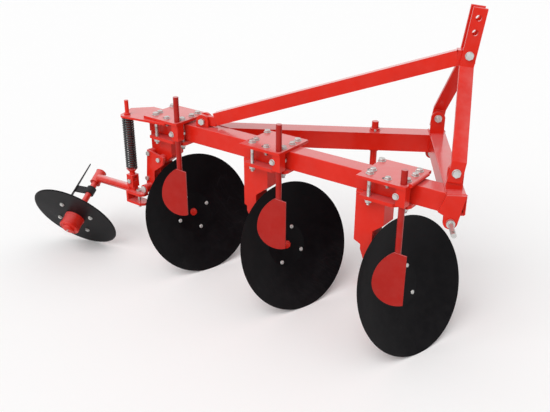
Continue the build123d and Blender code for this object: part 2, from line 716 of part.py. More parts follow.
def scraper_block(index):
    """Block under the top plate that grips the scraper rod."""
    half, seat = SCRAPER_BLOCK / 2, clamp_seat(index)
    low = seat - SCRAPER_BLOCK_HEIGHT
    grip = block(
        SCRAPER_FORWARD - half, SCRAPER_FORWARD + half,
        -SCRAPER_RIGHT - half, -SCRAPER_RIGHT + half, low, seat,
    )
    return clamp_place(index) * (grip - rod_hole(low - CUT_THROUGH, seat + CUT_THROUGH))


def stand_sleeve():
    outside = STAND_ROD + 2 * STAND_SLEEVE_WALL
    low, high = BEAM_BOTTOM - STAND_SLEEVE_PROUD, BEAM_TOP + STAND_SLEEVE_PROUD
    sleeve = bar((STAND_FORWARD, BRACE_Y, low), (STAND_FORWARD, BRACE_Y, high), outside)
    return sleeve - bar(
        (STAND_FORWARD, BRACE_Y, low - CUT_THROUGH), (STAND_FORWARD, BRACE_Y, high + CUT_THROUGH),
        STAND_ROD + 2 * RUNNING_CLEARANCE,
    )


def stand_leg():
    top = BEAM_TOP + STAND_PROUD
    rod = bar((STAND_FORWARD, BRACE_Y, 0), (STAND_FORWARD, BRACE_Y, top), STAND_ROD)
    return rod + bar(
        (STAND_FORWARD, BRACE_Y, 0), (STAND_FORWARD, BRACE_Y, STAND_FOOT_THICKNESS), STAND_FOOT
    )


def wheel_place():
    """Frame of the furrow wheel: Z along its axle, out of the hub side."""
    heading = radians(-90 - WHEEL_TOE)
    lean = radians(WHEEL_LEAN)
    out = Vector(cos(heading) * cos(lean), sin(heading) * cos(lean), -sin(lean))
    centre = LAST.position + Vector(-WHEEL_BACK, WHEEL_LEFT, WHEEL_DIAMETER / 2 * cos(lean))
    return Location(Plane(centre, x_dir=(sin(heading), -cos(heading), 0), z_dir=out))


def wheel_disc():
    rim, half = WHEEL_DIAMETER / 2, WHEEL_THICKNESS / 2
    hole = WHEEL_SPIGOT / 2 + FIT_CLEARANCE
    profile = make_face(Polyline(
        (hole, -half), (rim - WHEEL_BEVEL, -half), (rim, 0), (rim - WHEEL_BEVEL, half),
        (hole, half), close=True,
    ))
    return wheel_place() * ring(profile)


def wheel_hub():
    """Hub with its flange behind the wheel disc and a stepped cap on the outside."""
    face = WHEEL_THICKNESS / 2
    end = face + WHEEL_HUB_LENGTH
    hub = bar((0, 0, -WHEEL_FLANGE_BACK), (0, 0, -face), WHEEL_FLANGE)
    hub += bar((0, 0, -WHEEL_FLANGE_BACK), (0, 0, end), WHEEL_SPIGOT)
    hub += bar((0, 0, face), (0, 0, end), WHEEL_HUB)
    hub += bar((0, 0, end), (0, 0, end + WHEEL_CAP), WHEEL_CAP_DIAMETER)
    hub -= bar(
        (0, 0, -WHEEL_FLANGE_BACK - CUT_THROUGH), (0, 0, AXLE_INSIDE + AXLE_END_GAP),
        AXLE + 2 * RUNNING_CLEARANCE,
    )
    return wheel_place() * hub


def wheel_axle():
    collar = WHEEL_FLANGE_BACK + AXLE_COLLAR_GAP
    axle = bar((0, 0, -AXLE_LENGTH), (0, 0, AXLE_INSIDE), AXLE)
    axle += bar((0, 0, -collar - AXLE_COLLAR_LENGTH), (0, 0, -collar), AXLE_COLLAR)
    return wheel_place() * axle


def spring_axis():
    """Frame on the ground under the spring rod, square to the beam."""
    return LAST * Pos(-SPRING_BACK, -SPRING_RIGHT, 0)


def across_arm(x, y0, y1, z, diameter):
    """Round bar square to the beam, placed from the spring rod's axis."""
    return spring_axis() * bar((x, y0, z), (x, y1, z), diameter)


def arm_channel():
    """Two plates and a back plate, with the lug for the spring's clevis on top."""
    half, back = YOKE_WIDTH / 2, -YOKE_BEHIND
    low = YOKE_TOP - YOKE_HEIGHT
    outline = (
        (back, -half), (YOKE_AHEAD - YOKE_CHAMFER, -half), (YOKE_AHEAD, YOKE_CHAMFER - half),
        (YOKE_AHEAD, half - YOKE_CHAMFER), (YOKE_AHEAD - YOKE_CHAMFER, half), (back, half),
    )
    channel = slab(outline, low, low + YOKE_PLATE)
    channel += slab(outline, YOKE_TOP - YOKE_PLATE, YOKE_TOP)
    channel += block(back, back + YOKE_PLATE, -half, half, low, YOKE_TOP)
    channel -= bar(
        (YOKE_BOLT_AHEAD, 0, low - CUT_THROUGH), (YOKE_BOLT_AHEAD, 0, YOKE_TOP + CUT_THROUGH),
        YOKE_BOLT + FIT_CLEARANCE,
    )
    wide = CLEVIS_TONGUE / 2
    lug = block(-CLEVIS_LUG, CLEVIS_LUG, -wide, wide, YOKE_TOP, CLEVIS_PIN_Z)
    return channel + lug + bar(
        (0, -wide, CLEVIS_PIN_Z), (0, wide, CLEVIS_PIN_Z), 2 * CLEVIS_PIN
    )


def swing_arm():
    """Arm of the furrow wheel: pivot tube, channel, tube and the axle's socket."""
    along = SOCKET_LENGTH / 2
    socket = wheel_place() * bar((0, 0, -SOCKET_ALONG - along), (0, 0, along - SOCKET_ALONG), SOCKET)
    socket_point = (wheel_place() * Pos(0, 0, -SOCKET_ALONG)).position
    tube_end = (spring_axis() * Pos(-ARM_TUBE_BEHIND, 0, CLEVIS_PIN_Z - ARM_TUBE_DROP)).position
    pivot = LAST * bar(
        (PIVOT_X, -PIVOT_NEAR, PIVOT_Z), (PIVOT_X, -LINK_OUTER - FIT_CLEARANCE, PIVOT_Z), PIVOT_TUBE
    )
    arm = spring_axis() * arm_channel() + bar(tube_end, socket_point, ARM_TUBE) + socket + pivot
    arm -= LAST * bar(
        (PIVOT_X, -2 * PIVOT_NEAR, PIVOT_Z), (PIVOT_X, 0, PIVOT_Z), PIVOT_PIN + FIT_CLEARANCE
    )
    arm -= across_arm(0, -CLEVIS_WIDTH, CLEVIS_WIDTH, CLEVIS_PIN_Z, CLEVIS_PIN + FIT_CLEARANCE)
    reach = CLEVIS_WIDTH / 2 + FIT_CLEARANCE
    cheeks = block(
        -reach, reach, -reach, reach, CLEVIS_PIN_Z - CLEVIS_DEPTH - FIT_CLEARANCE, BEAM_BOTTOM
    )
    cheeks -= block(-reach, reach, -CLEVIS_TONGUE / 2, CLEVIS_TONGUE / 2, 0, BEAM_TOP)
    bore = wheel_place() * bar(
        (0, 0, -SOCKET_ALONG - SOCKET_LENGTH), (0, 0, SOCKET_LENGTH - SOCKET_ALONG),
        AXLE + FIT_CLEARANCE,
    )
    return arm - spring_axis() * cheeks - bore


def pivot_bracket():
    """Link plate bolted off the last leg, with the eye of the arm's pivot at its foot."""
    corners = [(-back, BEAM_BOTTOM - drop) for back, drop in LINK_OUTLINE]
    eye_rear, eye_front = PIVOT_X - PIVOT_EYE / 2, PIVOT_X + PIVOT_EYE / 2
    plate = upright(
        [(eye_rear, PIVOT_Z)] + corners + [(eye_front, PIVOT_Z)], -LINK_OUTER, -LINK_INNER
    )
    plate += bar((PIVOT_X, -LINK_OUTER, PIVOT_Z), (PIVOT_X, -LINK_INNER, PIVOT_Z), PIVOT_EYE)
    for back, drop, boss in LINK_BOLTS:
        z = BEAM_BOTTOM - drop
        if boss:
            plate += bar((-back, -LINK_INNER, z), (-back, -LEG_WIDTH / 2, z), LINK_BOSS)
        plate -= bar((-back, -LINK_OUTER - CUT_THROUGH, z), (-back, 0, z), LINK_BOLT + FIT_CLEARANCE)
    return LAST * (plate - bar(
        (PIVOT_X, -LINK_OUTER - CUT_THROUGH, PIVOT_Z), (PIVOT_X, 0, PIVOT_Z),
        PIVOT_PIN + FIT_CLEARANCE,
    ))


def headed_pin(diameter, x, y0, y1, z):
    """Pin square to the beam from a round head at y0 to its end at y1."""
    pin = bar((x, y0, z), (x, y1, z), diameter)
    return pin + bar((x, y0 - PIN_HEAD_HEIGHT, z), (x, y0, z), diameter * PIN_HEAD)


def pivot_pins():
    """Pins of the arm and the clevis, the channel's bolt and the link plate's bolts."""
    pins = [LAST * headed_pin(PIVOT_PIN, PIVOT_X, -PIVOT_NEAR, -LINK_INNER, PIVOT_Z)]
    half = CLEVIS_WIDTH / 2
    pins.append(spring_axis() * headed_pin(CLEVIS_PIN, 0, -half, half, CLEVIS_PIN_Z))
    channel_top = spring_axis() * Location((YOKE_BOLT_AHEAD, 0, YOKE_TOP))
    pins.append(hex_bolt(YOKE_BOLT, YOKE_HEIGHT, channel_top))
    for back, drop, boss in LINK_BOLTS:
        seat = Location(Plane((-back, -LINK_OUTER, BEAM_BOTTOM - drop), z_dir=(0, -1, 0)))
        depth = LINK_PLATE + LINK_STAND_OFF if boss else LINK_PLATE
        bolt = hexagon(LINK_BOLT, LINK_BOLT * HEAD_HEIGHT)
        pins.append(LAST * seat * (bolt + bar((0, 0, -depth), (0, 0, 0), LINK_BOLT)))
    return joined(pins)


def spring_plate():
    """Plate between the beam and the last top plate, out to the spring rod."""
    low, high = BEAM_TOP, BEAM_TOP + SPRING_PLATE
    end = SPRING_PLATE_END
    plate = slab(
        (
            (SPRING_PLATE_FRONT, -CLAMP_RIGHT),
            (SPRING_PLATE_FRONT, HALF_BEAM),
            (-BEAM_REAR - SPRING_PLATE_TAIL, HALF_BEAM),
            (-SPRING_BACK - SPRING_PLATE_BACK, -HALF_BEAM),
            (-SPRING_BACK - end, -SPRING_RIGHT),
            (-SPRING_BACK, -SPRING_RIGHT - end),
        ),
        low, high,
    )
    plate += bar((-SPRING_BACK, -SPRING_RIGHT, low), (-SPRING_BACK, -SPRING_RIGHT, high), 2 * end)
    plate -= bar(
        (-SPRING_BACK, -SPRING_RIGHT, low - CUT_THROUGH),
        (-SPRING_BACK, -SPRING_RIGHT, high + CUT_THROUGH), SPRING_ROD + FIT_CLEARANCE,
    )
    return LAST * plate - clamp_place(LAST_INDEX) * clamp_holes(low - CUT_THROUGH, high + CUT_THROUGH)


def spring_rod():
    """Rod with a collar on the plate, the spring's conical seat and the clevis."""
    half, inner = CLEVIS_WIDTH / 2, CLEVIS_WIDTH / 2 - CLEVIS_CHEEK
    neck_top = SPRING_BOTTOM - SEAT_HEIGHT
    plate_top = BEAM_TOP + SPRING_PLATE
    rod = bar((0, 0, CLEVIS_TOP), (0, 0, BEAM_TOP + SPRING_ROD_PROUD), SPRING_ROD)
    rod += bar((0, 0, CLEVIS_TOP), (0, 0, neck_top), SEAT_NECK)
    rod += Pos(0, 0, neck_top + SEAT_HEIGHT / 2) * Cone(SEAT_NECK / 2, SPRING_OUTSIDE / 2, SEAT_HEIGHT)
    rod += bar((0, 0, plate_top), (0, 0, plate_top + SPRING_COLLAR_HEIGHT), SPRING_COLLAR)
    yoke = block(-half, half, -half, half, CLEVIS_PIN_Z - CLEVIS_DEPTH, CLEVIS_TOP)
    yoke -= block(-half, half, -inner, inner, 0, CLEVIS_TOP - CLEVIS_CHEEK)
    yoke -= bar((0, -half, CLEVIS_PIN_Z), (0, half, CLEVIS_PIN_Z), CLEVIS_PIN + FIT_CLEARANCE)
    return spring_axis() * (rod + yoke)


def spring():
    """Compression spring between the plate and its seat."""
    travel = BEAM_TOP - SPRING_BOTTOM - SPRING_WIRE
    radius = (SPRING_OUTSIDE - SPRING_WIRE) / 2
    path = Helix(travel / SPRING_TURNS, travel, radius)
    section = Plane(path @ 0, z_dir=path % 0) * Circle(SPRING_WIRE / 2)
    return spring_axis() * Pos(0, 0, SPRING_BOTTOM + SPRING_WIRE / 2) * sweep(section, path)


def wheel_scraper():
    """Long tapered blade behind the furrow wheel, with its strap and ring on the axle."""
    near = -WHEEL_FLANGE_BACK - BLADE_GAP
    tip = near - BLADE_LENGTH
    blade = upright(
        (
            (-BLADE_WIDTH / 2, near), (BLADE_WIDTH / 2, near),
            (BLADE_TIP / 2, tip), (-BLADE_TIP / 2, tip),
        ),
        -BLADE_THICKNESS / 2, BLADE_THICKNESS / 2,
    )
    low = -BLADE_STRAP - BLADE_STRAP_WIDTH / 2
    high = low + BLADE_STRAP_WIDTH
    half = BLADE_STRAP_THICKNESS / 2
    strap = block(0, BLADE_OUT, -half, half, low, high)
    strap += bar((0, 0, low), (0, 0, high), AXLE + 2 * BLADE_RING_WALL)
    strap -= bar(
        (0, 0, low - CUT_THROUGH), (0, 0, high + CUT_THROUGH), AXLE + FIT_CLEARANCE
    )
    return wheel_place() * (Location((BLADE_OUT, 0, 0), (0, 0, BLADE_TURN)) * blade + strap)


def build():
    pieces = {
        "main_beam": main_beam(),
        "brace_beam": brace_beam(),
        "cross_beam": cross_beam(),
        "mast_lugs": mast_lugs(),
        "mast_bolts": mast_bolts(),
        "top_stay": top_stay(),
        "stay_lugs": stay_lugs(),
        "stay_bolt": stay_bolt(),
        "stand_sleeve": stand_sleeve(),
        "stand_leg": stand_leg(),
        "spring_plate": spring_plate(),
        "spring_rod": spring_rod(),
        "spring": spring(),
        "pivot_bracket": pivot_bracket(),
        "pivot_pins": pivot_pins(),
        "swing_arm": swing_arm(),
        "wheel_axle": wheel_axle(),
        "wheel_scraper": wheel_scraper(),
        "wheel_disc": wheel_disc(),
        "wheel_hub": wheel_hub(),
    }
    for name, side in (("right", -1), ("left", 1)):
        pieces["hitch_plate_" + name] = hitch_plate(side)
        pieces["lower_pin_" + name] = lower_pin(side)
        pieces["mast_strap_" + name] = mast_strap(side)
    for index, unit in enumerate(UNITS):
        name = unit[0]
        pieces["top_plate_" + name] = top_plate(index)
        pieces["clamp_bolts_" + name] = clamp_bolts(index)
        pieces["leg_" + name] = leg(index)
        pieces["scraper_" + name] = scraper(index)
        pieces["scraper_block_" + name] = scraper_block(index)
        pieces["disc_blade_" + name] = disc_blade(index)
        pieces["disc_hub_" + name] = disc_hub(index)
    return pieces


def main():
    pieces = build()
    boxes = [solid.bounding_box() for solid in pieces.values()]
    low = [min(getattr(box.min, axis) for box in boxes) for axis in "XYZ"]
    high = [max(getattr(box.max, axis) for box in boxes) for axis in "XYZ"]
    shift = Pos(-(low[0] + high[0]) / 2, -(low[1] + high[1]) / 2, -low[2])
    os.makedirs("parts", exist_ok=True)
    for name, solid in pieces.items():
        export_step(shift * solid, os.path.join("parts", name + ".step"))
    print("shift", shift.position, "size", [b - a for a, b in zip(low, high)])


main()
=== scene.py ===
"""Looks of the mounted disc plough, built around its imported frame. Metres, X forward, Y left, Z up."""
import json
from math import cos, pi, radians, sin

import bmesh
import bpy
from mathutils import Matrix, Vector


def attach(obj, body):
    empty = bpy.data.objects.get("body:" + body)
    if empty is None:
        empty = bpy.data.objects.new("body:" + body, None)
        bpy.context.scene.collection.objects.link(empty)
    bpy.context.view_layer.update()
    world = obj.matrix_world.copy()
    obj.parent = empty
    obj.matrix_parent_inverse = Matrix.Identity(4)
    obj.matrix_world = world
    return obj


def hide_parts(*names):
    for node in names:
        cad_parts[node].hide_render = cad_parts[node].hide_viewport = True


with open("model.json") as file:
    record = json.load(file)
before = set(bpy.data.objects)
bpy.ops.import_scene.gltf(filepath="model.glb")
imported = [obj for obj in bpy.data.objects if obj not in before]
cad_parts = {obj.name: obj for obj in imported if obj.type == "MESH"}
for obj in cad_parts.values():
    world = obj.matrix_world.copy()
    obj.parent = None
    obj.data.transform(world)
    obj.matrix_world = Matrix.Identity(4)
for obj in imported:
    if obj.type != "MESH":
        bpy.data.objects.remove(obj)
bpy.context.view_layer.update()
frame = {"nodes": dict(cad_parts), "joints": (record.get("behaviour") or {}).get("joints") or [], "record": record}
nodes = frame["nodes"]
joints = {joint["name"]: joint for joint in frame["joints"]}

UNITS = ("front", "middle", "rear")
BEAM_ANGLE = radians(31.1)

# View of the photograph, placed from the rim centre of the front disc
IMAGE_WIDTH = 550
FOCAL_PIXELS = 722.2
SENSOR = 36.0
VIEW_AZIMUTH = radians(5.706)
VIEW_ELEVATION = radians(24.918)
VIEW_ROLL = radians(0.149)
VIEW_FROM_FRONT_DISC = Vector((-0.3398, -2.9255, 1.7427))


# Shader helpers

def socket(group, name, kind, direction, default=None):
    item = group.interface.new_socket(name, in_out=direction, socket_type=kind)
    if default is not None:
        item.default_value = default


def node(tree, kind, **values):
    """New node; a key that starts with in_ sets the input of that name."""
    item = tree.nodes.new(kind)
    for key, value in values.items():
        if key.startswith("in_"):
            item.inputs[key[3:].replace("_", " ")].default_value = value
        else:
            setattr(item, key, value)
    return item


def link(tree, source, target):
    tree.links.new(source, target)


def shader_group(name, inputs, outputs):
    """Empty node group with its named sockets."""
    group = bpy.data.node_groups.new(name, "ShaderNodeTree")
    for label, kind, default in inputs:
        socket(group, label, kind, "INPUT", default)
    for label, kind in outputs:
        socket(group, label, kind, "OUTPUT")
    return group, group.nodes.new("NodeGroupInput"), group.nodes.new("NodeGroupOutput")


def spread(tree, value, low, high, **settings):
    """Value moved so that low gives nought and high gives one."""
    item = node(tree, "ShaderNodeMapRange", in_From_Min=low, in_From_Max=high, **settings)
    link(tree, value, item.inputs["Value"])
    return item.outputs["Result"]


def vary(tree, mask, low, high):
    """Value that goes from low to high with a mask."""
    item = node(tree, "ShaderNodeMapRange", in_To_Min=low, in_To_Max=high)
    link(tree, mask, item.inputs["Value"])
    return item.outputs["Result"]


def combine(tree, operation, first, *others):
    """Values taken together, two at a time, by one operation."""
    total = first
    for other in others:
        item = node(tree, "ShaderNodeMath", operation=operation)
        link(tree, total, item.inputs[0])
        link(tree, other, item.inputs[1])
        total = item.outputs[0]
    return total


def own_place(tree):
    """Place on the piece, in its own axes."""
    return node(tree, "ShaderNodeTexCoord").outputs["Object"]


def noise(tree, scale=None, **values):
    """Noise over the piece."""
    item = node(tree, "ShaderNodeTexNoise", **values)
    link(tree, own_place(tree), item.inputs["Vector"])
    if scale is not None:
        link(tree, scale, item.inputs["Scale"])
    return item.outputs["Fac"]


def upward_share(tree):
    """How far a face looks up, from minus one to one."""
    shape = node(tree, "ShaderNodeNewGeometry")
    parts = node(tree, "ShaderNodeSeparateXYZ")
    link(tree, shape.outputs["Normal"], parts.inputs["Vector"])
    return parts.outputs["Z"]


# Shared effects

def paint_tone_group():
    """Paint colour that drifts a little between two shades."""
    group, given, out = shader_group(
        "paint_tone",
        (("Colour", "NodeSocketColor", (1, 1, 1, 1)), ("Shade", "NodeSocketColor", (0, 0, 0, 1)),
         ("Scale", "NodeSocketFloat", 6.0), ("Amount", "NodeSocketFloat", 0.4)),
        (("Colour", "NodeSocketColor"),),
    )
    cloud = noise(group, given.outputs["Scale"], in_Detail=4.0, in_Roughness=0.6)
    share = combine(group, "MULTIPLY", spread(group, cloud, 0.35, 0.7), given.outputs["Amount"])
    mix = node(group, "ShaderNodeMix", data_type="RGBA")
    link(group, share, mix.inputs["Factor"])
    link(group, given.outputs["Colour"], mix.inputs["A"])
    link(group, given.outputs["Shade"], mix.inputs["B"])
    link(group, mix.outputs["Result"], out.inputs["Colour"])
    return group


def rubbed_and_highlit_edge_group():
    """Mask of the outer edges, broken up by a fine noise: edge wear and a painted edge highlight."""
    group, given, out = shader_group(
        "rubbed_and_highlit_edge",
        (("Radius", "NodeSocketFloat", 0.003), ("Amount", "NodeSocketFloat", 0.5),
         ("Scale", "NodeSocketFloat", 60.0)),
        (("Mask", "NodeSocketFloat"),),
    )
    soft = node(group, "ShaderNodeBevel", samples=4)
    link(group, given.outputs["Radius"], soft.inputs["Radius"])
    shape = node(group, "ShaderNodeNewGeometry")
    agree = node(group, "ShaderNodeVectorMath", operation="DOT_PRODUCT")
    link(group, soft.outputs["Normal"], agree.inputs[0])
    link(group, shape.outputs["Normal"], agree.inputs[1])
    edge = spread(group, agree.outputs["Value"], 0.98, 0.75)
    chips = spread(group, noise(group, given.outputs["Scale"], in_Detail=3.0), 0.45, 0.62)
    mask = combine(group, "MULTIPLY", edge, chips, given.outputs["Amount"])
    link(group, mask, out.inputs["Mask"])
    return group


def settled_dust_group():
    """Mask of thin dust, thicker on faces that look up."""
    group, given, out = shader_group(
        "settled_dust",
        (("Amount", "NodeSocketFloat", 0.2), ("Scale", "NodeSocketFloat", 14.0)),
        (("Mask", "NodeSocketFloat"),),
    )
    up = spread(group, upward_share(group), -0.2, 1.0)
    cloud = noise(group, given.outputs["Scale"], in_Detail=6.0, in_Roughness=0.65)
    patch = spread(group, cloud, 0.4, 0.75)
    mask = combine(group, "MULTIPLY", up, patch, given.outputs["Amount"])
    link(group, mask, out.inputs["Mask"])
    return group


def upward_group():
    """Mask of the faces that look up."""
    group, given, out = shader_group(
        "upward", (("Amount", "NodeSocketFloat", 1.0),), (("Mask", "NodeSocketFloat"),)
    )
    up = spread(group, upward_share(group), 0.55, 1.0, interpolation_type="SMOOTHSTEP")
    link(group, combine(group, "MULTIPLY", up, given.outputs["Amount"]), out.inputs["Mask"])
    return group


def surface_grain_group():
    """Fine height for plated, rolled or sprayed surfaces."""
    group, given, out = shader_group(
        "surface_grain", (("Scale", "NodeSocketFloat", 300.0),), (("Height", "NodeSocketFloat"),)
    )
    link(group, noise(group, given.outputs["Scale"], in_Detail=3.0), out.inputs["Height"])
    return group


SCRATCH_LAYERS = ((0.4, 1.0), (1.7, 1.35), (2.6, 0.8))      # turn, size
SCRATCH_STRETCH = 14


def scratches_group():
    """Mask of thin random scratches that lie in a few patches."""
    group, given, out = shader_group(
        "scratches",
        (("Scale", "NodeSocketFloat", 8.0), ("Amount", "NodeSocketFloat", 0.5)),
        (("Mask", "NodeSocketFloat"),),
    )
    layers = []
    for turn, size in SCRATCH_LAYERS:
        lay = node(group, "ShaderNodeMapping")
        lay.inputs["Rotation"].default_value = (turn, turn * 1.7, turn * 2.3)
        lay.inputs["Scale"].default_value = (size, size * SCRATCH_STRETCH, size)
        link(group, own_place(group), lay.inputs["Vector"])
        line = node(group, "ShaderNodeTexVoronoi", feature="DISTANCE_TO_EDGE")
        link(group, lay.outputs["Vector"], line.inputs["Vector"])
        link(group, given.outputs["Scale"], line.inputs["Scale"])
        layers.append(spread(group, line.outputs["Distance"], 0.012, 0.0))
    lines = combine(group, "MAXIMUM", *layers)
    patch = spread(group, noise(group, in_Scale=3.1, in_Detail=2.0), 0.56, 0.66)
    mask = combine(group, "MULTIPLY", lines, patch, given.outputs["Amount"])
    link(group, mask, out.inputs["Mask"])
    return group


PAINT_TONE = paint_tone_group()
RUBBED_AND_HIGHLIT_EDGE = rubbed_and_highlit_edge_group()
SETTLED_DUST = settled_dust_group()
UPWARD = upward_group()
SURFACE_GRAIN = surface_grain_group()
SCRATCHES = scratches_group()


# Finishes

def use_group(tree, group, **values):
    item = tree.nodes.new("ShaderNodeGroup")
    item.node_tree = group
    for key, value in values.items():
        item.inputs[key].default_value = value
    return item


def new_material(name):
    material = bpy.data.materials.new(name)
    material.use_nodes = True
    tree = material.node_tree
    tree.nodes.clear()
    shader = node(tree, "ShaderNodeBsdfPrincipled")
    out = node(tree, "ShaderNodeOutputMaterial")
    link(tree, shader.outputs["BSDF"], out.inputs["Surface"])
    return material, tree, shader


def mix_colour(tree, base, mask, colour):
    mix = node(tree, "ShaderNodeMix", data_type="RGBA")
    link(tree, mask, mix.inputs["Factor"])
    link(tree, base, mix.inputs["A"])
    mix.inputs["B"].default_value = colour
    return mix.outputs["Result"]


def bump(tree, shader, height, strength, distance):
    item = node(tree, "ShaderNodeBump", in_Strength=strength, in_Distance=distance)
    link(tree, height, item.inputs["Height"])
    link(tree, item.outputs["Normal"], shader.inputs["Normal"])


# Lighter red for the enamel's edges: wear and a painted edge highlight.
RUBBED_AND_HIGHLIT_EDGE_RED = (0.70, 0.09, 0.075, 1)
# Pale pink mixed into the upward faces of the red enamel: a painted sky reflection.
PAINTED_SKY_REFLECTION_RED = (0.92, 0.27, 0.28, 1)
DUST_ON_RED = (0.72, 0.52, 0.50, 1)
WARM_SHEEN = (1.0, 0.72, 0.55, 1)
SCRATCHED_STEEL = (0.14, 0.14, 0.145, 1)
DUST_ON_BLACK = (0.22, 0.21, 0.20, 1)


def red_enamel(name, colour, shade):
    """Red enamel with a sprayed surface, edges worn and lightened as a painted edge highlight, upper faces paler
    as a painted sky reflection, and dust that is thicker on upper faces.
    """
    material, tree, shader = new_material(name)
    tone = use_group(tree, PAINT_TONE, Colour=colour, Shade=shade, Scale=5.0, Amount=0.5)
    rubbed_highlit_mask = use_group(tree, RUBBED_AND_HIGHLIT_EDGE, Radius=0.002, Amount=0.4, Scale=90.0)
    facing_up = use_group(tree, UPWARD)
    dust = use_group(tree, SETTLED_DUST, Amount=0.12, Scale=16.0)
    # Edges mixed toward a lighter red: wear and a painted edge highlight.
    rubbed_and_highlit = mix_colour(tree, tone.outputs["Colour"], rubbed_highlit_mask.outputs["Mask"], RUBBED_AND_HIGHLIT_EDGE_RED)
    # Upward faces mixed toward a pale pink: painted sky reflection. The same mask also raises the coat.
    painted_reflection_share = vary(tree, facing_up.outputs["Mask"], 0.0, 0.36)
    pale = mix_colour(tree, rubbed_and_highlit, painted_reflection_share, PAINTED_SKY_REFLECTION_RED)
    dusty = mix_colour(tree, pale, dust.outputs["Mask"], DUST_ON_RED)
    link(tree, dusty, shader.inputs["Base Color"])
    link(tree, vary(tree, dust.outputs["Mask"], 0.34, 0.75), shader.inputs["Roughness"])
    shader.inputs["Specular IOR Level"].default_value = 0.20
    shader.inputs["Specular Tint"].default_value = WARM_SHEEN
    link(tree, vary(tree, facing_up.outputs["Mask"], 0.16, 1.0), shader.inputs["Coat Weight"])
    shader.inputs["Coat Roughness"].default_value = 0.14
    peel = use_group(tree, SURFACE_GRAIN, Scale=110.0)
    bump(tree, shader, peel.outputs["Height"], 0.10, 0.002)
    return material


def black_steel(name, colour, dust, scratched, roughness, shine):
    """Satin black steel with fine scratches and dust."""
    material, tree, shader = new_material(name)
    pale = tuple(channel * 1.9 + 0.002 for channel in colour[:3]) + (1,)
    tone = use_group(tree, PAINT_TONE, Colour=colour, Shade=pale, Scale=7.0, Amount=0.6)
    lines = use_group(tree, SCRATCHES, Scale=5.0, Amount=scratched)
    settled = use_group(tree, SETTLED_DUST, Amount=dust, Scale=22.0)
    cut = mix_colour(tree, tone.outputs["Colour"], lines.outputs["Mask"], SCRATCHED_STEEL)
    dusty = mix_colour(tree, cut, settled.outputs["Mask"], DUST_ON_BLACK)
    link(tree, dusty, shader.inputs["Base Color"])
    link(tree, vary(tree, settled.outputs["Mask"], roughness, 0.8), shader.inputs["Roughness"])
    shader.inputs["Specular IOR Level"].default_value = shine
    grain = use_group(tree, SURFACE_GRAIN, Scale=420.0)
    bump(tree, shader, grain.outputs["Height"], 0.10, 0.001)
    return material


def zinc_plate(name, colour, shade):
    """Bright zinc plating with a slight drift in tone."""
    material, tree, shader = new_material(name)
    tone = use_group(tree, PAINT_TONE, Colour=colour, Shade=shade, Scale=45.0, Amount=0.6)
    link(tree, tone.outputs["Colour"], shader.inputs["Base Color"])
    shader.inputs["Metallic"].default_value = 0.8
    grain = use_group(tree, SURFACE_GRAIN, Scale=700.0)
    link(tree, vary(tree, grain.outputs["Height"], 0.28, 0.48), shader.inputs["Roughness"])
    bump(tree, shader, grain.outputs["Height"], 0.12, 0.0006)
    return material


RED = red_enamel("red_enamel", (0.66, 0.014, 0.005, 1), (0.54, 0.010, 0.004, 1))
SCRAPER_RED = red_enamel("scraper_enamel", (0.38, 0.006, 0.004, 1), (0.31, 0.004, 0.003, 1))
DISC_BLACK = black_steel(
    "disc_black", (0.0030, 0.0026, 0.0034, 1), dust=0.03, scratched=0.06, roughness=0.36, shine=0.07)
WHEEL_BLACK = black_steel(
    "wheel_black", (0.0052, 0.0048, 0.0056, 1), dust=0.08, scratched=0.22, roughness=0.42, shine=0.08)
SPRING_BLACK = black_steel(
    "spring_black", (0.008, 0.008, 0.009, 1), dust=0.08, scratched=0.08, roughness=0.30, shine=0.6)
BLADE_DARK = black_steel(
    "blade_dark", (0.016, 0.016, 0.018, 1), dust=0.12, scratched=0.25, roughness=0.45, shine=0.12)
ZINC = zinc_plate("zinc_plate", (0.62, 0.62, 0.61, 1), (0.42, 0.41, 0.38, 1))

FINISH = {
    "red_paint": RED,
    "disc_black": DISC_BLACK,
    "wheel_black": WHEEL_BLACK,
    "scraper_steel": BLADE_DARK,
    "spring_steel": SPRING_BLACK,
    "zinc_steel": ZINC,
}
SLOT_OF = {part["node"]: part["material_slot"] for part in frame["record"]["subparts"]}
BODY_OF = {
    name: body for body, names in frame["record"]["behaviour"]["bodies"].items() for name in names
}


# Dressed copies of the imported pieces

def finish_piece(name, mesh, material, body, replaced=()):
    """Object from a mesh, riding on a body and standing for the CAD nodes it replaces."""
    mesh.materials.clear()
    mesh.materials.append(material)
    piece = bpy.data.objects.new(name, mesh)
    bpy.context.scene.collection.objects.link(piece)
    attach(piece, body)
    if replaced:
        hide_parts(*replaced)
    return piece


SHARP_ANGLE = 32      # degrees
SAME_SPOT = 1e-6
FLAT_ANGLE = radians(0.5)


def smooth_by_angle(mesh, degrees=SHARP_ANGLE):
    for face in mesh.polygons:
        face.use_smooth = True
    mesh.set_sharp_from_angle(angle=radians(degrees))


def rounded(name, radius, material=None):
    """Copy of a CAD node with its sharp edges rounded, which stands for the node."""
    mesh = nodes[name].data.copy()
    mesh.name = name + "_dressed"
    form = bmesh.new()
    form.from_mesh(mesh)
    bmesh.ops.remove_doubles(form, verts=form.verts, dist=SAME_SPOT)
    bmesh.ops.dissolve_limit(form, angle_limit=FLAT_ANGLE, verts=form.verts, edges=form.edges)
    form.to_mesh(mesh)
    form.free()
    smooth_by_angle(mesh)
    slot = SLOT_OF[name]
    piece = finish_piece(
        name + "_dressed", mesh, material or FINISH[slot], BODY_OF[name], (name,)
    )
    edge = piece.modifiers.new("rounded_edges", "BEVEL")
    edge.width = radius
    edge.segments = 2
    edge.limit_method = "ANGLE"
    edge.angle_limit = radians(SHARP_ANGLE)
    edge.harden_normals = True


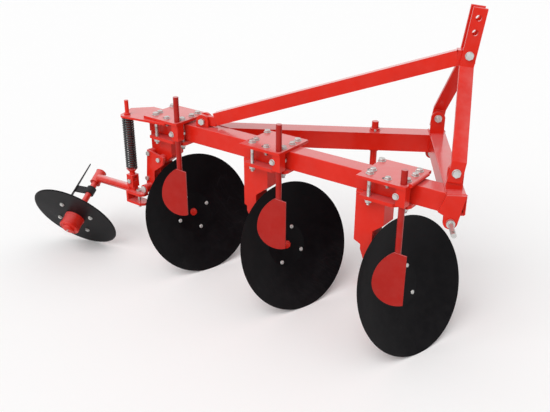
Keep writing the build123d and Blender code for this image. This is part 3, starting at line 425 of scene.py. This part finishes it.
EDGE_RADIUS = {           # by the start of the node's name
    "wheel_scraper": 0.001,
    "main_beam": 0.006, "brace_beam": 0.006, "cross_beam": 0.006, "top_stay": 0.005,
    "lower_pin": 0.0015, "mast_bolts": 0.0012, "stay_bolt": 0.0012,
}
PLAIN_EDGE = 0.002
DISC_SCRAPERS = tuple("scraper_" + unit for unit in UNITS)
BUILT_HERE = ("disc_blade_", "clamp_bolts_", "wheel_disc", "spring")


def edge_radius(name):
    for start, radius in EDGE_RADIUS.items():
        if name.startswith(start):
            return radius
    return PLAIN_EDGE


def built_here(name):
    """Whether a node is stood for by a piece made from scratch below."""
    return name in BUILT_HERE or name.startswith(BUILT_HERE[:2])


def dress_nodes():
    for name in sorted(nodes):
        if not built_here(name):
            rounded(name, edge_radius(name), SCRAPER_RED if name in DISC_SCRAPERS else None)


# Places on the plough, in millimetres from the front disc's station

MM = 0.001
DISC_IN_STATION = (75.0, 87.0, 314.03)
BEAM_BOTTOM = 788.05
BEAM_TOP = 878.05
HALF_BEAM = 45.0
TOP_PLATE = 14.0
LOWER_PLATE = 16.0
SPRING_PLATE = 12.0
CLAMP_AHEAD = {"front": -15.0, "middle": 4.0, "rear": 20.0}
CLAMP_SEAT = {"front": BEAM_TOP, "middle": BEAM_TOP, "rear": BEAM_TOP + SPRING_PLATE}


def mm(x, y, z):
    return Vector((x, y, z)) * MM


def moved(place, x, y, z):
    """Place shifted along its own axes, in millimetres."""
    return place @ Matrix.Translation(mm(x, y, z))


def on_circle(place, radius, turn, height):
    """Place shifted to a spot of a circle about its own axis."""
    return moved(place, radius * cos(turn), radius * sin(turn), height)


def station(unit):
    """Frame of a disc's station: X forward along the beam, Y left, on the ground."""
    place = Matrix.Translation(joints["disc_%s_spin" % unit]["pos_m"])
    return place @ Matrix.Rotation(-BEAM_ANGLE, 4, "Z") @ Matrix.Translation(-mm(*DISC_IN_STATION))


def clamp(unit):
    return moved(station(unit), CLAMP_AHEAD[unit], 0, 0)


FRAME = Matrix.Translation(station("front").translation)


def axle(name):
    """Frame on a hinge's axis: Z along it, X level."""
    joint = joints[name]
    along = Vector(joint["axis"]).normalized()
    level = Vector((0, 0, 1)).cross(along).normalized()
    turn = Matrix((level, along.cross(level), along)).transposed().to_4x4()
    return Matrix.Translation(joint["pos_m"]) @ turn


# Builders of solids, in millimetres

def add_lathe(form, place, profile, segments=32):
    """Turned solid from (radius, height) pairs; a radius of nought closes it."""
    rings = []
    for radius, height in profile:
        ring = []
        for step in range(segments if radius else 1):
            angle = 2 * pi * step / segments
            spot = mm(radius * cos(angle), radius * sin(angle), height)
            ring.append(form.verts.new(place @ spot))
        rings.append(ring)
    for low, high in zip(rings, rings[1:]):
        for step in range(segments):
            after = (step + 1) % segments
            corners = (
                low[step % len(low)], low[after % len(low)],
                high[after % len(high)], high[step % len(high)],
            )
            corners = list(dict.fromkeys(corners))
            if len(corners) > 2:
                form.faces.new(corners)


HEX_SLOPE = 0.16          # height of the turned corners, for each apothem
HEX_FACE = 0.9            # radius of the end face, for each corner


def add_hex(form, place, apothem, low, high, chamfered_low=False):
    """Hexagon nut or head with its outer corners turned off."""
    corner = apothem / cos(pi / 6)
    slope = HEX_SLOPE * apothem
    face = HEX_FACE * corner
    if chamfered_low:
        start = [(0, low), (face, low), (corner, low + slope)]
    else:
        start = [(0, low), (corner, low)]
    add_lathe(form, place, start + [(corner, high - slope), (face, high), (0, high)], 6)


WASHER_EDGE = 0.4


def add_washer(form, place, inside, outside, low, high):
    edge = WASHER_EDGE
    add_lathe(form, place, (
        (inside, low), (outside - edge, low), (outside, low + edge), (outside, high - edge),
        (outside - edge, high), (inside, high), (inside, low),
    ), 28)


THREAD_PITCH = 2.5
THREAD_ROOT = 0.86        # shares of the shank's radius
THREAD_TIP = 0.78
THREAD_TOP = 0.97


def add_thread(form, place, radius, low, high):
    """Threaded length drawn as close rings, with a turned end at the bottom."""
    pitch = THREAD_PITCH
    root = THREAD_ROOT * radius
    profile = [(0, low), (THREAD_TIP * radius, low), (root, low + 0.5 * pitch)]
    for turn in range(max(1, int((high - low - pitch) / pitch))):
        height = low + pitch * (0.75 + turn)
        profile += [(radius, height), (root, height + 0.5 * pitch)]
    add_lathe(form, place, profile + [(THREAD_TOP * radius, high), (0, high)], 16)


# Bolt sizes that are shares of the shank, and lengths
HEAD_APOTHEM = 0.75
HEAD_HEIGHT = 0.65
HEAD_LIFT = 1.2           # added to the height, for the washer
WASHER_RADIUS = 1.02
WASHER_THICKNESS = 2.4
HEAD_SINK = 0.4           # head or nut into its washer, so that they join
NUT_HEIGHT = 14.0
BOLT_END = 12.0           # threaded end past the nut
SHANK_LAP = 1.0           # shank into the head, and thread into the shank


def add_bolt(form, place, shank, grip, threaded):
    """Hex bolt with washers and nut, its head's seat at the place's origin.

    Its end is threaded, and so is the given length of the grip above the nut.
    """
    apothem = HEAD_APOTHEM * shank
    washer = WASHER_RADIUS * shank
    radius = shank / 2
    seat = WASHER_THICKNESS - HEAD_SINK
    thread = threaded - grip
    add_washer(form, place, radius, washer, 0, WASHER_THICKNESS)
    add_hex(form, place, apothem, seat, HEAD_HEIGHT * shank + HEAD_LIFT)
    add_lathe(form, place, ((0, thread), (radius, thread), (radius, SHANK_LAP), (0, SHANK_LAP)), 20)
    add_thread(form, place, radius, -grip - NUT_HEIGHT - BOLT_END, thread + SHANK_LAP)
    add_washer(form, place, radius, washer, -grip - WASHER_THICKNESS, -grip)
    add_hex(form, place, apothem, -grip - NUT_HEIGHT, -grip - seat, True)


CAP_WASHER = 2.2
CAP_WASHER_INSIDE, CAP_WASHER_OUTSIDE = 0.5, 1.36      # shares of the apothem


def add_cap(form, place, apothem, height):
    """Bolt head on its washer."""
    add_washer(form, place, CAP_WASHER_INSIDE * apothem, CAP_WASHER_OUTSIDE * apothem, 0, CAP_WASHER)
    add_hex(form, place, apothem, CAP_WASHER - HEAD_SINK, height)


BEAD_RADIUS = 3.6
RIPPLE_LENGTH = 3.2


def add_bead(form, start, end, radius=BEAD_RADIUS):
    """Weld bead: a lumpy round run from one point to another, both in metres."""
    start, end = Vector(start), Vector(end)
    along = end - start
    place = Matrix.Translation(start) @ along.to_track_quat("Z", "Y").to_matrix().to_4x4()
    length = along.length / MM
    ripples = max(4, int(length / RIPPLE_LENGTH))
    profile = [(0, 0)]
    for ripple in range(ripples):
        height = length * (ripple + 0.5) / ripples
        swell = 1 + 0.10 * sin(ripple * 2.4) + 0.05 * sin(ripple * 5.1)
        profile.append((0.86 * radius * swell, height - 0.32 * length / ripples))
        profile.append((radius * swell, height + 0.1 * length / ripples))
    add_lathe(form, place, profile + [(0, length)], 8)


def piece_from(form, name, material, body, replaced=(), angle=SHARP_ANGLE):
    """Object from a finished solid."""
    bmesh.ops.remove_doubles(form, verts=form.verts, dist=SAME_SPOT)
    bmesh.ops.recalc_face_normals(form, faces=form.faces)
    mesh = bpy.data.meshes.new(name)
    form.to_mesh(mesh)
    form.free()
    smooth_by_angle(mesh, angle)
    finish_piece(name, mesh, material, body, replaced)


def arc(start, end, radius, steps):
    """Points of a hanging arc from start to end, both (radius, height) pairs."""
    start, end = Vector(start), Vector(end)
    chord = end - start
    rise = (radius ** 2 - chord.length_squared / 4) ** 0.5
    side = Vector((-chord.y, chord.x)).normalized()
    if side.y < 0:
        side = -side
    centre = (start + end) / 2 + rise * side
    first = start - centre
    swing = first.angle_signed(end - centre)
    points = []
    for step in range(steps + 1):
        turn = -swing * step / steps
        points.append((
            centre.x + first.x * cos(turn) - first.y * sin(turn),
            centre.y + first.x * sin(turn) + first.y * cos(turn),
        ))
    return points


# Angles in degrees past which an edge shows sharp
TURNED_SHARP = 7
BOLT_SHARP = 28
WIRE_SHARP = 40
BEAD_SHARP = 50


# Discs and their bolts, with heights from the plane of the rim

DISC_RIM = 330.0
DISC_LAND = 0.8           # narrow land of the cutting edge
DISC_SEAT = 112.0         # radius of the flat seat
DISC_DEPTH = 72.0
DISC_BACK = 78.0
DISC_SPHERE = 720.0
DISC_GROUND_FROM = (318.0, -11.5)     # where the ground edge starts on the back
DISC_ARC_STEPS = 18
DISC_BOLT_CIRCLE = 97.0
DISC_BOLT_TURN = {"front": 48.0, "middle": -31.0, "rear": 17.0}
DISC_BOLT_HEAD = ((0, 0), (11, 0), (11, 1.6), (10, 3.2), (7.5, 4.8), (4, 5.6), (0, 5.8))
DISC_BOLT_KEY = ((0, 5.0), (4.6, 5.0), (4.6, 6.2), (0, 6.4))
DISC_NUT = 15.0
DISC_NUT_LOW, DISC_NUT_HIGH = 2.5, 13.0
DISC_NUT_WASHER = (8.0, 21.0, 0.0, 3.0)
DISC_STUD_END = ((0, 12), (9, 12), (9, 16), (8, 17.5), (0, 18))


def disc_profile():
    """Section of a blade: front from the middle to the rim, and back again behind."""
    inner = DISC_RIM - DISC_LAND
    front = arc((DISC_SEAT, -DISC_DEPTH), (inner, -DISC_LAND / 2), DISC_SPHERE, DISC_ARC_STEPS)
    back = arc((DISC_SEAT, -DISC_BACK), DISC_GROUND_FROM, DISC_SPHERE, DISC_ARC_STEPS)
    middle = [(0, -DISC_DEPTH), (DISC_SEAT / 2, -DISC_DEPTH)]
    edge = [(DISC_RIM, 0), (inner, -2 * DISC_LAND)]
    return middle + front + edge + back[::-1] + [(0, -DISC_BACK)]


def dress_disc(unit):
    """Dished blade turned finely, with a ground edge, four bolts in its seat and a red nut."""
    place = axle("disc_%s_spin" % unit)
    body = "disc_" + unit
    blade = "disc_blade_" + unit
    form = bmesh.new()
    add_lathe(form, place, disc_profile(), 160)
    piece_from(form, blade + "_dressed", DISC_BLACK, body, (blade,), TURNED_SHARP)
    form = bmesh.new()
    for quarter in range(4):
        turn = radians(DISC_BOLT_TURN[unit] + 90 * quarter)
        seat = on_circle(place, DISC_BOLT_CIRCLE, turn, -DISC_DEPTH)
        add_lathe(form, seat, DISC_BOLT_HEAD, 24)
        add_lathe(form, seat, DISC_BOLT_KEY, 6)
    piece_from(form, "disc_bolts_" + unit, ZINC, body)
    form = bmesh.new()
    centre = moved(place, 0, 0, -DISC_DEPTH)
    add_washer(form, centre, *DISC_NUT_WASHER)
    add_hex(form, centre, DISC_NUT, DISC_NUT_LOW, DISC_NUT_HIGH)
    add_lathe(form, centre, DISC_STUD_END)
    piece_from(form, "disc_nut_" + unit, RED, body, (), BOLT_SHARP)


# Bolts and screws of the clamps, placed forward and left of each clamp

CLAMP_BOLT = 18.0
CLAMP_BOLT_THREADED = 70.0            # of the grip, above the nut
CLAMP_BOLTS = ((-100.0, 80.0), (-68.0, -80.0), (90.0, 68.0), (98.0, -58.0))
PLATE_SCREWS = ((-75.0, -41.0), (97.0, 15.0))
PLATE_SCREW = 12.5
PLATE_SCREW_HEIGHT = 12.0
HANGING_BOLT_AT = (24.0, -91.0)
HANGING_BOLT = 16.0
HANGING_BOLT_THREADED = 2.0
UPPER_NUT = 14.5          # second nut on the bolt beside the scraper
UPPER_NUT_LOW, UPPER_NUT_HIGH = 826.0, 840.0
GRIP_SCREW_AT = (80.0, -119.0, 838.0)
GRIP_SCREW = 11.0
GRIP_SCREW_HEIGHT = 10.0


def dress_clamp(unit):
    place = clamp(unit)
    head = CLAMP_SEAT[unit] + TOP_PLATE
    grip = head - BEAM_BOTTOM + LOWER_PLATE
    name = "clamp_bolts_" + unit
    form = bmesh.new()
    for forward, left in CLAMP_BOLTS:
        add_bolt(form, moved(place, forward, left, head), CLAMP_BOLT, grip, CLAMP_BOLT_THREADED)
    piece_from(form, name + "_dressed", ZINC, "frame", (name,), BOLT_SHARP)
    form = bmesh.new()
    for forward, left in PLATE_SCREWS:
        add_cap(form, moved(place, forward, left, head), PLATE_SCREW, PLATE_SCREW_HEIGHT)
    hanging = moved(place, *HANGING_BOLT_AT, head)
    add_bolt(form, hanging, HANGING_BOLT, TOP_PLATE, HANGING_BOLT_THREADED)
    beside_scraper = moved(place, *CLAMP_BOLTS[-1], 0)
    add_hex(form, beside_scraper, UPPER_NUT, UPPER_NUT_LOW, UPPER_NUT_HIGH, True)
    screw = moved(place, *GRIP_SCREW_AT) @ Matrix.Rotation(pi / 2, 4, "X")
    add_cap(form, screw, GRIP_SCREW, GRIP_SCREW_HEIGHT)
    piece_from(form, "clamp_screws_" + unit, ZINC, "frame", (), BOLT_SHARP)


# Furrow wheel, with heights along its axle from the middle of its plate

WHEEL_RIM = 257.0
WHEEL_BEVEL = 248.0       # radius where the edge's bevel starts
WHEEL_HALF = 4.0          # half the plate's thickness
WHEEL_HOLE = 40.4
WHEEL_LAND_IN, WHEEL_LAND_HALF = 0.6, 0.7
WHEEL_BOLTS = 124.0       # from the axle
WHEEL_BOLT_TURN = 14
WHEEL_BOLT = 10.0
WHEEL_BOLT_HEIGHT = 9.0
HUB_END = WHEEL_HALF + 78.0
HUB_SKIN, HUB_RING = 56.1, 58.2       # radius of the hub and of its raised rings
HUB_RING_EDGE = 0.6
HUB_RINGS = ((0.0, 3.0), (10.0, 14.0), (62.0, 66.0), (72.0, 75.0))      # from and to, off the plate
HUB_FACE_RINGS = ((36.0, 41.0), (46.0, 50.0))       # inside and outside radius
HUB_FACE_RING_LOW, HUB_FACE_RING_HIGH = -1.0, 2.0
HUB_CAP_OUT = 12.0        # cap's face beyond the hub's end
HUB_CAP = ((0, -1), (27, -1), (27, 1.5), (25, 3.0), (10, 3.6), (8, 3.0), (0, 3.0))
NIPPLE_HEX = 5.0
NIPPLE_HEX_LOW, NIPPLE_HEX_HIGH = 2.5, 7.0
NIPPLE = ((0, 6), (3, 6), (3, 9), (2, 10), (3.2, 12), (2.2, 14.5), (0, 15))


def wheel_plate(place):
    """Flat plate bevelled to a narrow land all round."""
    land = WHEEL_RIM - WHEEL_LAND_IN
    form = bmesh.new()
    add_lathe(form, place, (
        (WHEEL_HOLE, -WHEEL_HALF), (WHEEL_BEVEL, -WHEEL_HALF), (land, -WHEEL_LAND_HALF), (WHEEL_RIM, 0),
        (land, WHEEL_LAND_HALF), (WHEEL_BEVEL, WHEEL_HALF), (WHEEL_HOLE, WHEEL_HALF),
        (WHEEL_HOLE, -WHEEL_HALF),
    ), 144)
    piece_from(form, "wheel_disc_dressed", WHEEL_BLACK, "furrow_wheel",
               ("wheel_disc",), TURNED_SHARP)


def wheel_bolts(place):
    form = bmesh.new()
    for quarter in range(4):
        turn = radians(WHEEL_BOLT_TURN + 90 * quarter)
        add_cap(form, on_circle(place, WHEEL_BOLTS, turn, WHEEL_HALF), WHEEL_BOLT, WHEEL_BOLT_HEIGHT)
    piece_from(form, "wheel_bolts", ZINC, "furrow_wheel", (), BOLT_SHARP)


def hub_rings(place, cap):
    """Raised rings round the hub and on its end, and the dust cap's face."""
    form = bmesh.new()
    for start, end in HUB_RINGS:
        low, high = WHEEL_HALF + start, WHEEL_HALF + end
        profile = [
            (HUB_SKIN, low), (HUB_RING, low + HUB_RING_EDGE),
            (HUB_RING, high - HUB_RING_EDGE), (HUB_SKIN, high),
        ]
        add_lathe(form, place, profile + profile[:1], 64)
    for inside, outside in HUB_FACE_RINGS:
        add_washer(form, moved(place, 0, 0, HUB_END), inside, outside,
                   HUB_FACE_RING_LOW, HUB_FACE_RING_HIGH)
    add_lathe(form, cap, HUB_CAP, 48)
    piece_from(form, "wheel_hub_rings", RED, "furrow_wheel")


def grease_nipple(cap):
    form = bmesh.new()
    add_hex(form, cap, NIPPLE_HEX, NIPPLE_HEX_LOW, NIPPLE_HEX_HIGH)
    add_lathe(form, cap, NIPPLE, 16)
    piece_from(form, "wheel_grease_nipple", ZINC, "furrow_wheel")


def dress_wheel():
    place = axle("furrow_wheel_spin")
    cap = moved(place, 0, 0, HUB_END + HUB_CAP_OUT)
    wheel_plate(place)
    wheel_bolts(place)
    hub_rings(place, cap)
    grease_nipple(cap)


# Spring of the furrow wheel, placed from the rear station

SPRING_AT = (-203.0, -136.0)
SPRING_SEAT = 586.05
SPRING_WIRE = 9.4
SPRING_COIL = 62.0        # outside
SPRING_TURNS = 22
STEPS_PER_TURN = 28
WIRE_SIDES = 12


def dress_spring():
    """Open coil between its seat on the rod and the spring plate."""
    axis = moved(station("rear"), *SPRING_AT, 0)
    radius = (SPRING_COIL - SPRING_WIRE) / 2
    travel = BEAM_TOP - SPRING_SEAT - SPRING_WIRE
    steps = SPRING_TURNS * STEPS_PER_TURN
    form = bmesh.new()
    rings = []
    for step in range(steps + 1):
        share = step / steps
        angle = 2 * pi * SPRING_TURNS * share
        out = Vector((cos(angle), sin(angle), 0))
        middle = mm(0, 0, SPRING_SEAT + SPRING_WIRE / 2 + travel * share) + out * radius * MM
        ring = []
        for spot in range(WIRE_SIDES):
            lean = 2 * pi * spot / WIRE_SIDES
            shift = out * cos(lean) + Vector((0, 0, 1)) * sin(lean)
            ring.append(form.verts.new(axis @ (middle + shift * SPRING_WIRE / 2 * MM)))
        rings.append(ring)
    for one, two in zip(rings, rings[1:]):
        for spot in range(WIRE_SIDES):
            after = (spot + 1) % WIRE_SIDES
            form.faces.new((one[spot], one[after], two[after], two[spot]))
    form.faces.new(rings[0][::-1])
    form.faces.new(rings[-1])
    piece_from(form, "spring_dressed", SPRING_BLACK, "frame", ("spring",), WIRE_SHARP)


# Weld beads

CROSS_BACK, CROSS_FRONT = 192.0, 272.0
HITCH_RIGHT, HITCH_LEFT, HITCH_PLATE = -195.5, 629.5, 16.0
BEAM_MEETS_CROSS = (-168.4, -63.3)        # right and left
BRACE_MEETS_CROSS = (539.5, 629.5)
BRACE_MEETS_BEAM = (-970.0, -1144.0)      # along the beam
LUGS_RIGHT, LUG_THICKNESS = (-137.0, 555.0), 16.0
LUG_BACK, LUG_FRONT = 192.0, 260.0
LUG_BEAD = 3.2
STAND_AT, STAND_SLEEVE = (-76.0, 584.5), 25.0
LEG_BACK, LEG_FRONT = -148.0, -5.0
SLEEVE_BEAD = 3.4
SOCKET_RADIUS = 30.0
SOCKET_ENDS = (-252.0, -334.0)            # along the axle
SOCKET_BEAD = 2.4


def bead_run(form, place, points, radius=BEAD_RADIUS):
    """Beads along a run of points given in a place's millimetres."""
    spots = [place @ mm(*point) for point in points]
    for start, end in zip(spots, spots[1:]):
        add_bead(form, start, end, radius)


def ring_bead(form, place, radius, height, size):
    """Round bead lying where a tube leaves a flat face."""
    profile = []
    for step in range(9):
        turn = 2 * pi * step / 8
        profile.append((radius + size * cos(turn), height + size * sin(turn)))
    add_lathe(form, place, profile, 48)


def weld_leg(form, unit):
    """Beads round a leg under its seat plate."""
    under = BEAM_BOTTOM - LOWER_PLATE
    bead_run(form, clamp(unit), (
        (LEG_BACK, -HALF_BEAM, under), (LEG_FRONT, -HALF_BEAM, under), (LEG_FRONT, HALF_BEAM, under),
        (LEG_BACK, HALF_BEAM, under), (LEG_BACK, -HALF_BEAM, under),
    ))


def weld_frame(form):
    """Beads of the hitch plates, the beams, the mast's lugs and the stand's sleeve."""
    for left in (HITCH_RIGHT + HITCH_PLATE, HITCH_LEFT - HITCH_PLATE):
        bead_run(form, FRAME, (
            (CROSS_BACK, left, BEAM_TOP), (CROSS_FRONT, left, BEAM_TOP),
            (CROSS_FRONT, left, BEAM_BOTTOM), (CROSS_BACK, left, BEAM_BOTTOM),
        ))
    for right, left in (BEAM_MEETS_CROSS, BRACE_MEETS_CROSS):
        bead_run(form, FRAME, (
            (CROSS_BACK, right, BEAM_BOTTOM), (CROSS_BACK, right, BEAM_TOP),
            (CROSS_BACK, left, BEAM_TOP), (CROSS_BACK, left, BEAM_BOTTOM),
        ))
    near, far = BRACE_MEETS_BEAM
    bead_run(form, station("front"), (
        (near, HALF_BEAM, BEAM_BOTTOM), (near, HALF_BEAM, BEAM_TOP), (far, HALF_BEAM, BEAM_TOP),
    ))
    for right in LUGS_RIGHT:
        for left in (right, right + LUG_THICKNESS):
            bead_run(form, FRAME, ((LUG_BACK, left, BEAM_TOP), (LUG_FRONT, left, BEAM_TOP)), LUG_BEAD)
    stand = moved(FRAME, *STAND_AT, 0)
    for height in (BEAM_TOP, BEAM_BOTTOM):
        ring_bead(form, stand, STAND_SLEEVE, height, SLEEVE_BEAD)


def weld_socket(form):
    """Beads at both ends of the socket that holds the furrow wheel's axle."""
    for height in SOCKET_ENDS:
        ring_bead(form, axle("furrow_wheel_spin"), SOCKET_RADIUS, height, SOCKET_BEAD)


def add_welds():
    form = bmesh.new()
    for unit in UNITS:
        weld_leg(form, unit)
    weld_frame(form)
    weld_socket(form)
    piece_from(form, "weld_beads", RED, "frame", (), BEAD_SHARP)


# Washers of the mast and the stand's locking bolt

MAST_AT = (226.0, 217.0, 958.05)
MAST_LEAN = radians(7.4)
MAST_WASHER = (10.2, 18.4, 0.0, 2.6)      # inside and outside radius, from, to
MAST_WASHERS = (          # left, up the mast, side the washer looks to
    (-370.0, 0.0, -1), (-338.0, 0.0, 1), (370.0, 0.0, 1), (338.0, 0.0, -1),
    (-41.0, 401.0, -1), (41.0, 401.0, 1),
)
LOCK_BOLT = 5.5
LOCK_BOLT_HEIGHT = 8.0
LOCK_BOLT_OVER_BEAM = 8.0
LOCK_BOLT_SINK = 0.5


def add_frame_trim():
    mast = moved(FRAME, *MAST_AT) @ Matrix.Rotation(MAST_LEAN, 4, "Y")
    form = bmesh.new()
    for left, up, side in MAST_WASHERS:
        seat = moved(mast, 0, left, up) @ Matrix.Rotation(-side * pi / 2, 4, "X")
        add_washer(form, seat, *MAST_WASHER)
    lock = moved(FRAME, *STAND_AT, BEAM_TOP + LOCK_BOLT_OVER_BEAM) @ Matrix.Rotation(pi / 2, 4, "X")
    lock = moved(lock, 0, 0, STAND_SLEEVE - LOCK_BOLT_SINK)
    add_hex(form, lock, LOCK_BOLT, 0, LOCK_BOLT_HEIGHT)
    piece_from(form, "frame_washers", ZINC, "frame", (), BOLT_SHARP)


# Painted shade of the slots beside the screws of the top plates: flat dark pieces laid on the plates

SLOTS = ((-93.0, -41.0), (6.0, -91.0))    # forward, left
SLOT_RADIUS = 9.0
SLOT_LENGTH = 16.0
SLOT_ARC_STEPS = 24
SLOT_PROUD, SLOT_UNDER = 0.25, -0.6
SLOT_FLARE = 1.01


def slot_outline():
    """Half round end and straight sides, as far as the screw's washer."""
    rim = []
    for step in range(SLOT_ARC_STEPS + 1):
        turn = pi / 2 + pi * step / SLOT_ARC_STEPS
        rim.append((SLOT_RADIUS * cos(turn), SLOT_RADIUS * sin(turn)))
    return rim + [(SLOT_LENGTH, -SLOT_RADIUS), (SLOT_LENGTH, SLOT_RADIUS)]


# Each slot is a thin dark piece on the plate, painted shade that stands in for the slot's dark inside; no hole is
# cut.
def add_painted_slot_shade():
    rim = slot_outline()
    form = bmesh.new()
    for unit in UNITS:
        for forward, left in SLOTS:
            place = moved(clamp(unit), forward, left, CLAMP_SEAT[unit] + TOP_PLATE)
            upper = [form.verts.new(place @ mm(x, y, SLOT_PROUD)) for x, y in rim]
            form.faces.new(upper)
            lower = [
                form.verts.new(place @ mm(x * SLOT_FLARE, y * SLOT_FLARE, SLOT_UNDER)) for x, y in rim
            ]
            for one in range(len(rim)):
                two = (one + 1) % len(rim)
                form.faces.new((upper[one], upper[two], lower[two], lower[one]))
            form.faces.new(lower[::-1])
    piece_from(form, "plate_slot_painted_shade", SPRING_BLACK, "frame")


dress_nodes()
for unit in UNITS:
    dress_disc(unit)
    dress_clamp(unit)
dress_wheel()
dress_spring()
add_welds()
add_frame_trim()
add_painted_slot_shade()


# Studio

FLOOR_SIZE = 60
FLOOR_WHITE = (0.98, 0.98, 0.98, 1)
SKY_ON_PART = 0.58        # strength that lights the plough
SKY_SEEN = 1.0            # strength behind it and in its reflections
KEY_STRENGTH = 1.85
KEY_SPREAD = radians(50)
KEY_FROM = Vector((-2.4, -4.2, 5.6))
KEY_TO = Vector((0.1, 0, 0.5))


def studio_floor():
    bpy.ops.mesh.primitive_plane_add(size=FLOOR_SIZE, location=(0, 0, 0))
    floor = bpy.context.object
    floor.name = "floor"
    material, _, shader = new_material("floor_white")
    shader.inputs["Base Color"].default_value = FLOOR_WHITE
    shader.inputs["Roughness"].default_value = 0.9
    shader.inputs["Specular IOR Level"].default_value = 0.1
    floor.data.materials.append(material)


def studio_light():
    """White sky, seen brighter than it lights, and one wide soft key."""
    world = bpy.data.worlds.new("studio")
    bpy.context.scene.world = world
    world.use_nodes = True
    tree = world.node_tree
    sky = tree.nodes["Background"]
    sky.inputs["Color"].default_value = (1, 1, 1, 1)
    path = node(tree, "ShaderNodeLightPath")
    rays = ("Is Camera Ray", "Is Glossy Ray", "Is Transmission Ray")
    seen = combine(tree, "MAXIMUM", *(path.outputs[ray] for ray in rays))
    link(tree, vary(tree, seen, SKY_ON_PART, SKY_SEEN), sky.inputs["Strength"])
    key = bpy.data.lights.new("key", "SUN")
    key.energy = KEY_STRENGTH
    key.angle = KEY_SPREAD
    lamp = bpy.data.objects.new("key", key)
    lamp.location = KEY_FROM
    lamp.rotation_euler = (KEY_TO - KEY_FROM).to_track_quat("-Z", "Y").to_euler()
    bpy.context.scene.collection.objects.link(lamp)


def photo_camera():
    data = bpy.data.cameras.new("photo_camera")
    data.sensor_width = SENSOR
    data.sensor_fit = "HORIZONTAL"
    data.lens = SENSOR * FOCAL_PIXELS / IMAGE_WIDTH
    camera = bpy.data.objects.new("photo_camera", data)
    bpy.context.scene.collection.objects.link(camera)
    turn = (
        Matrix.Rotation(VIEW_AZIMUTH, 4, "Z")
        @ Matrix.Rotation(pi / 2 - VIEW_ELEVATION, 4, "X")
        @ Matrix.Rotation(VIEW_ROLL, 4, "Z")
    )
    place = Vector(joints["disc_front_spin"]["pos_m"]) + VIEW_FROM_FRONT_DISC
    camera.matrix_world = Matrix.Translation(place) @ turn
    bpy.context.scene.camera = camera


studio_floor()
studio_light()
photo_camera()
bpy.context.scene.view_settings.view_transform = "Standard"

bpy.context.view_layer.update()
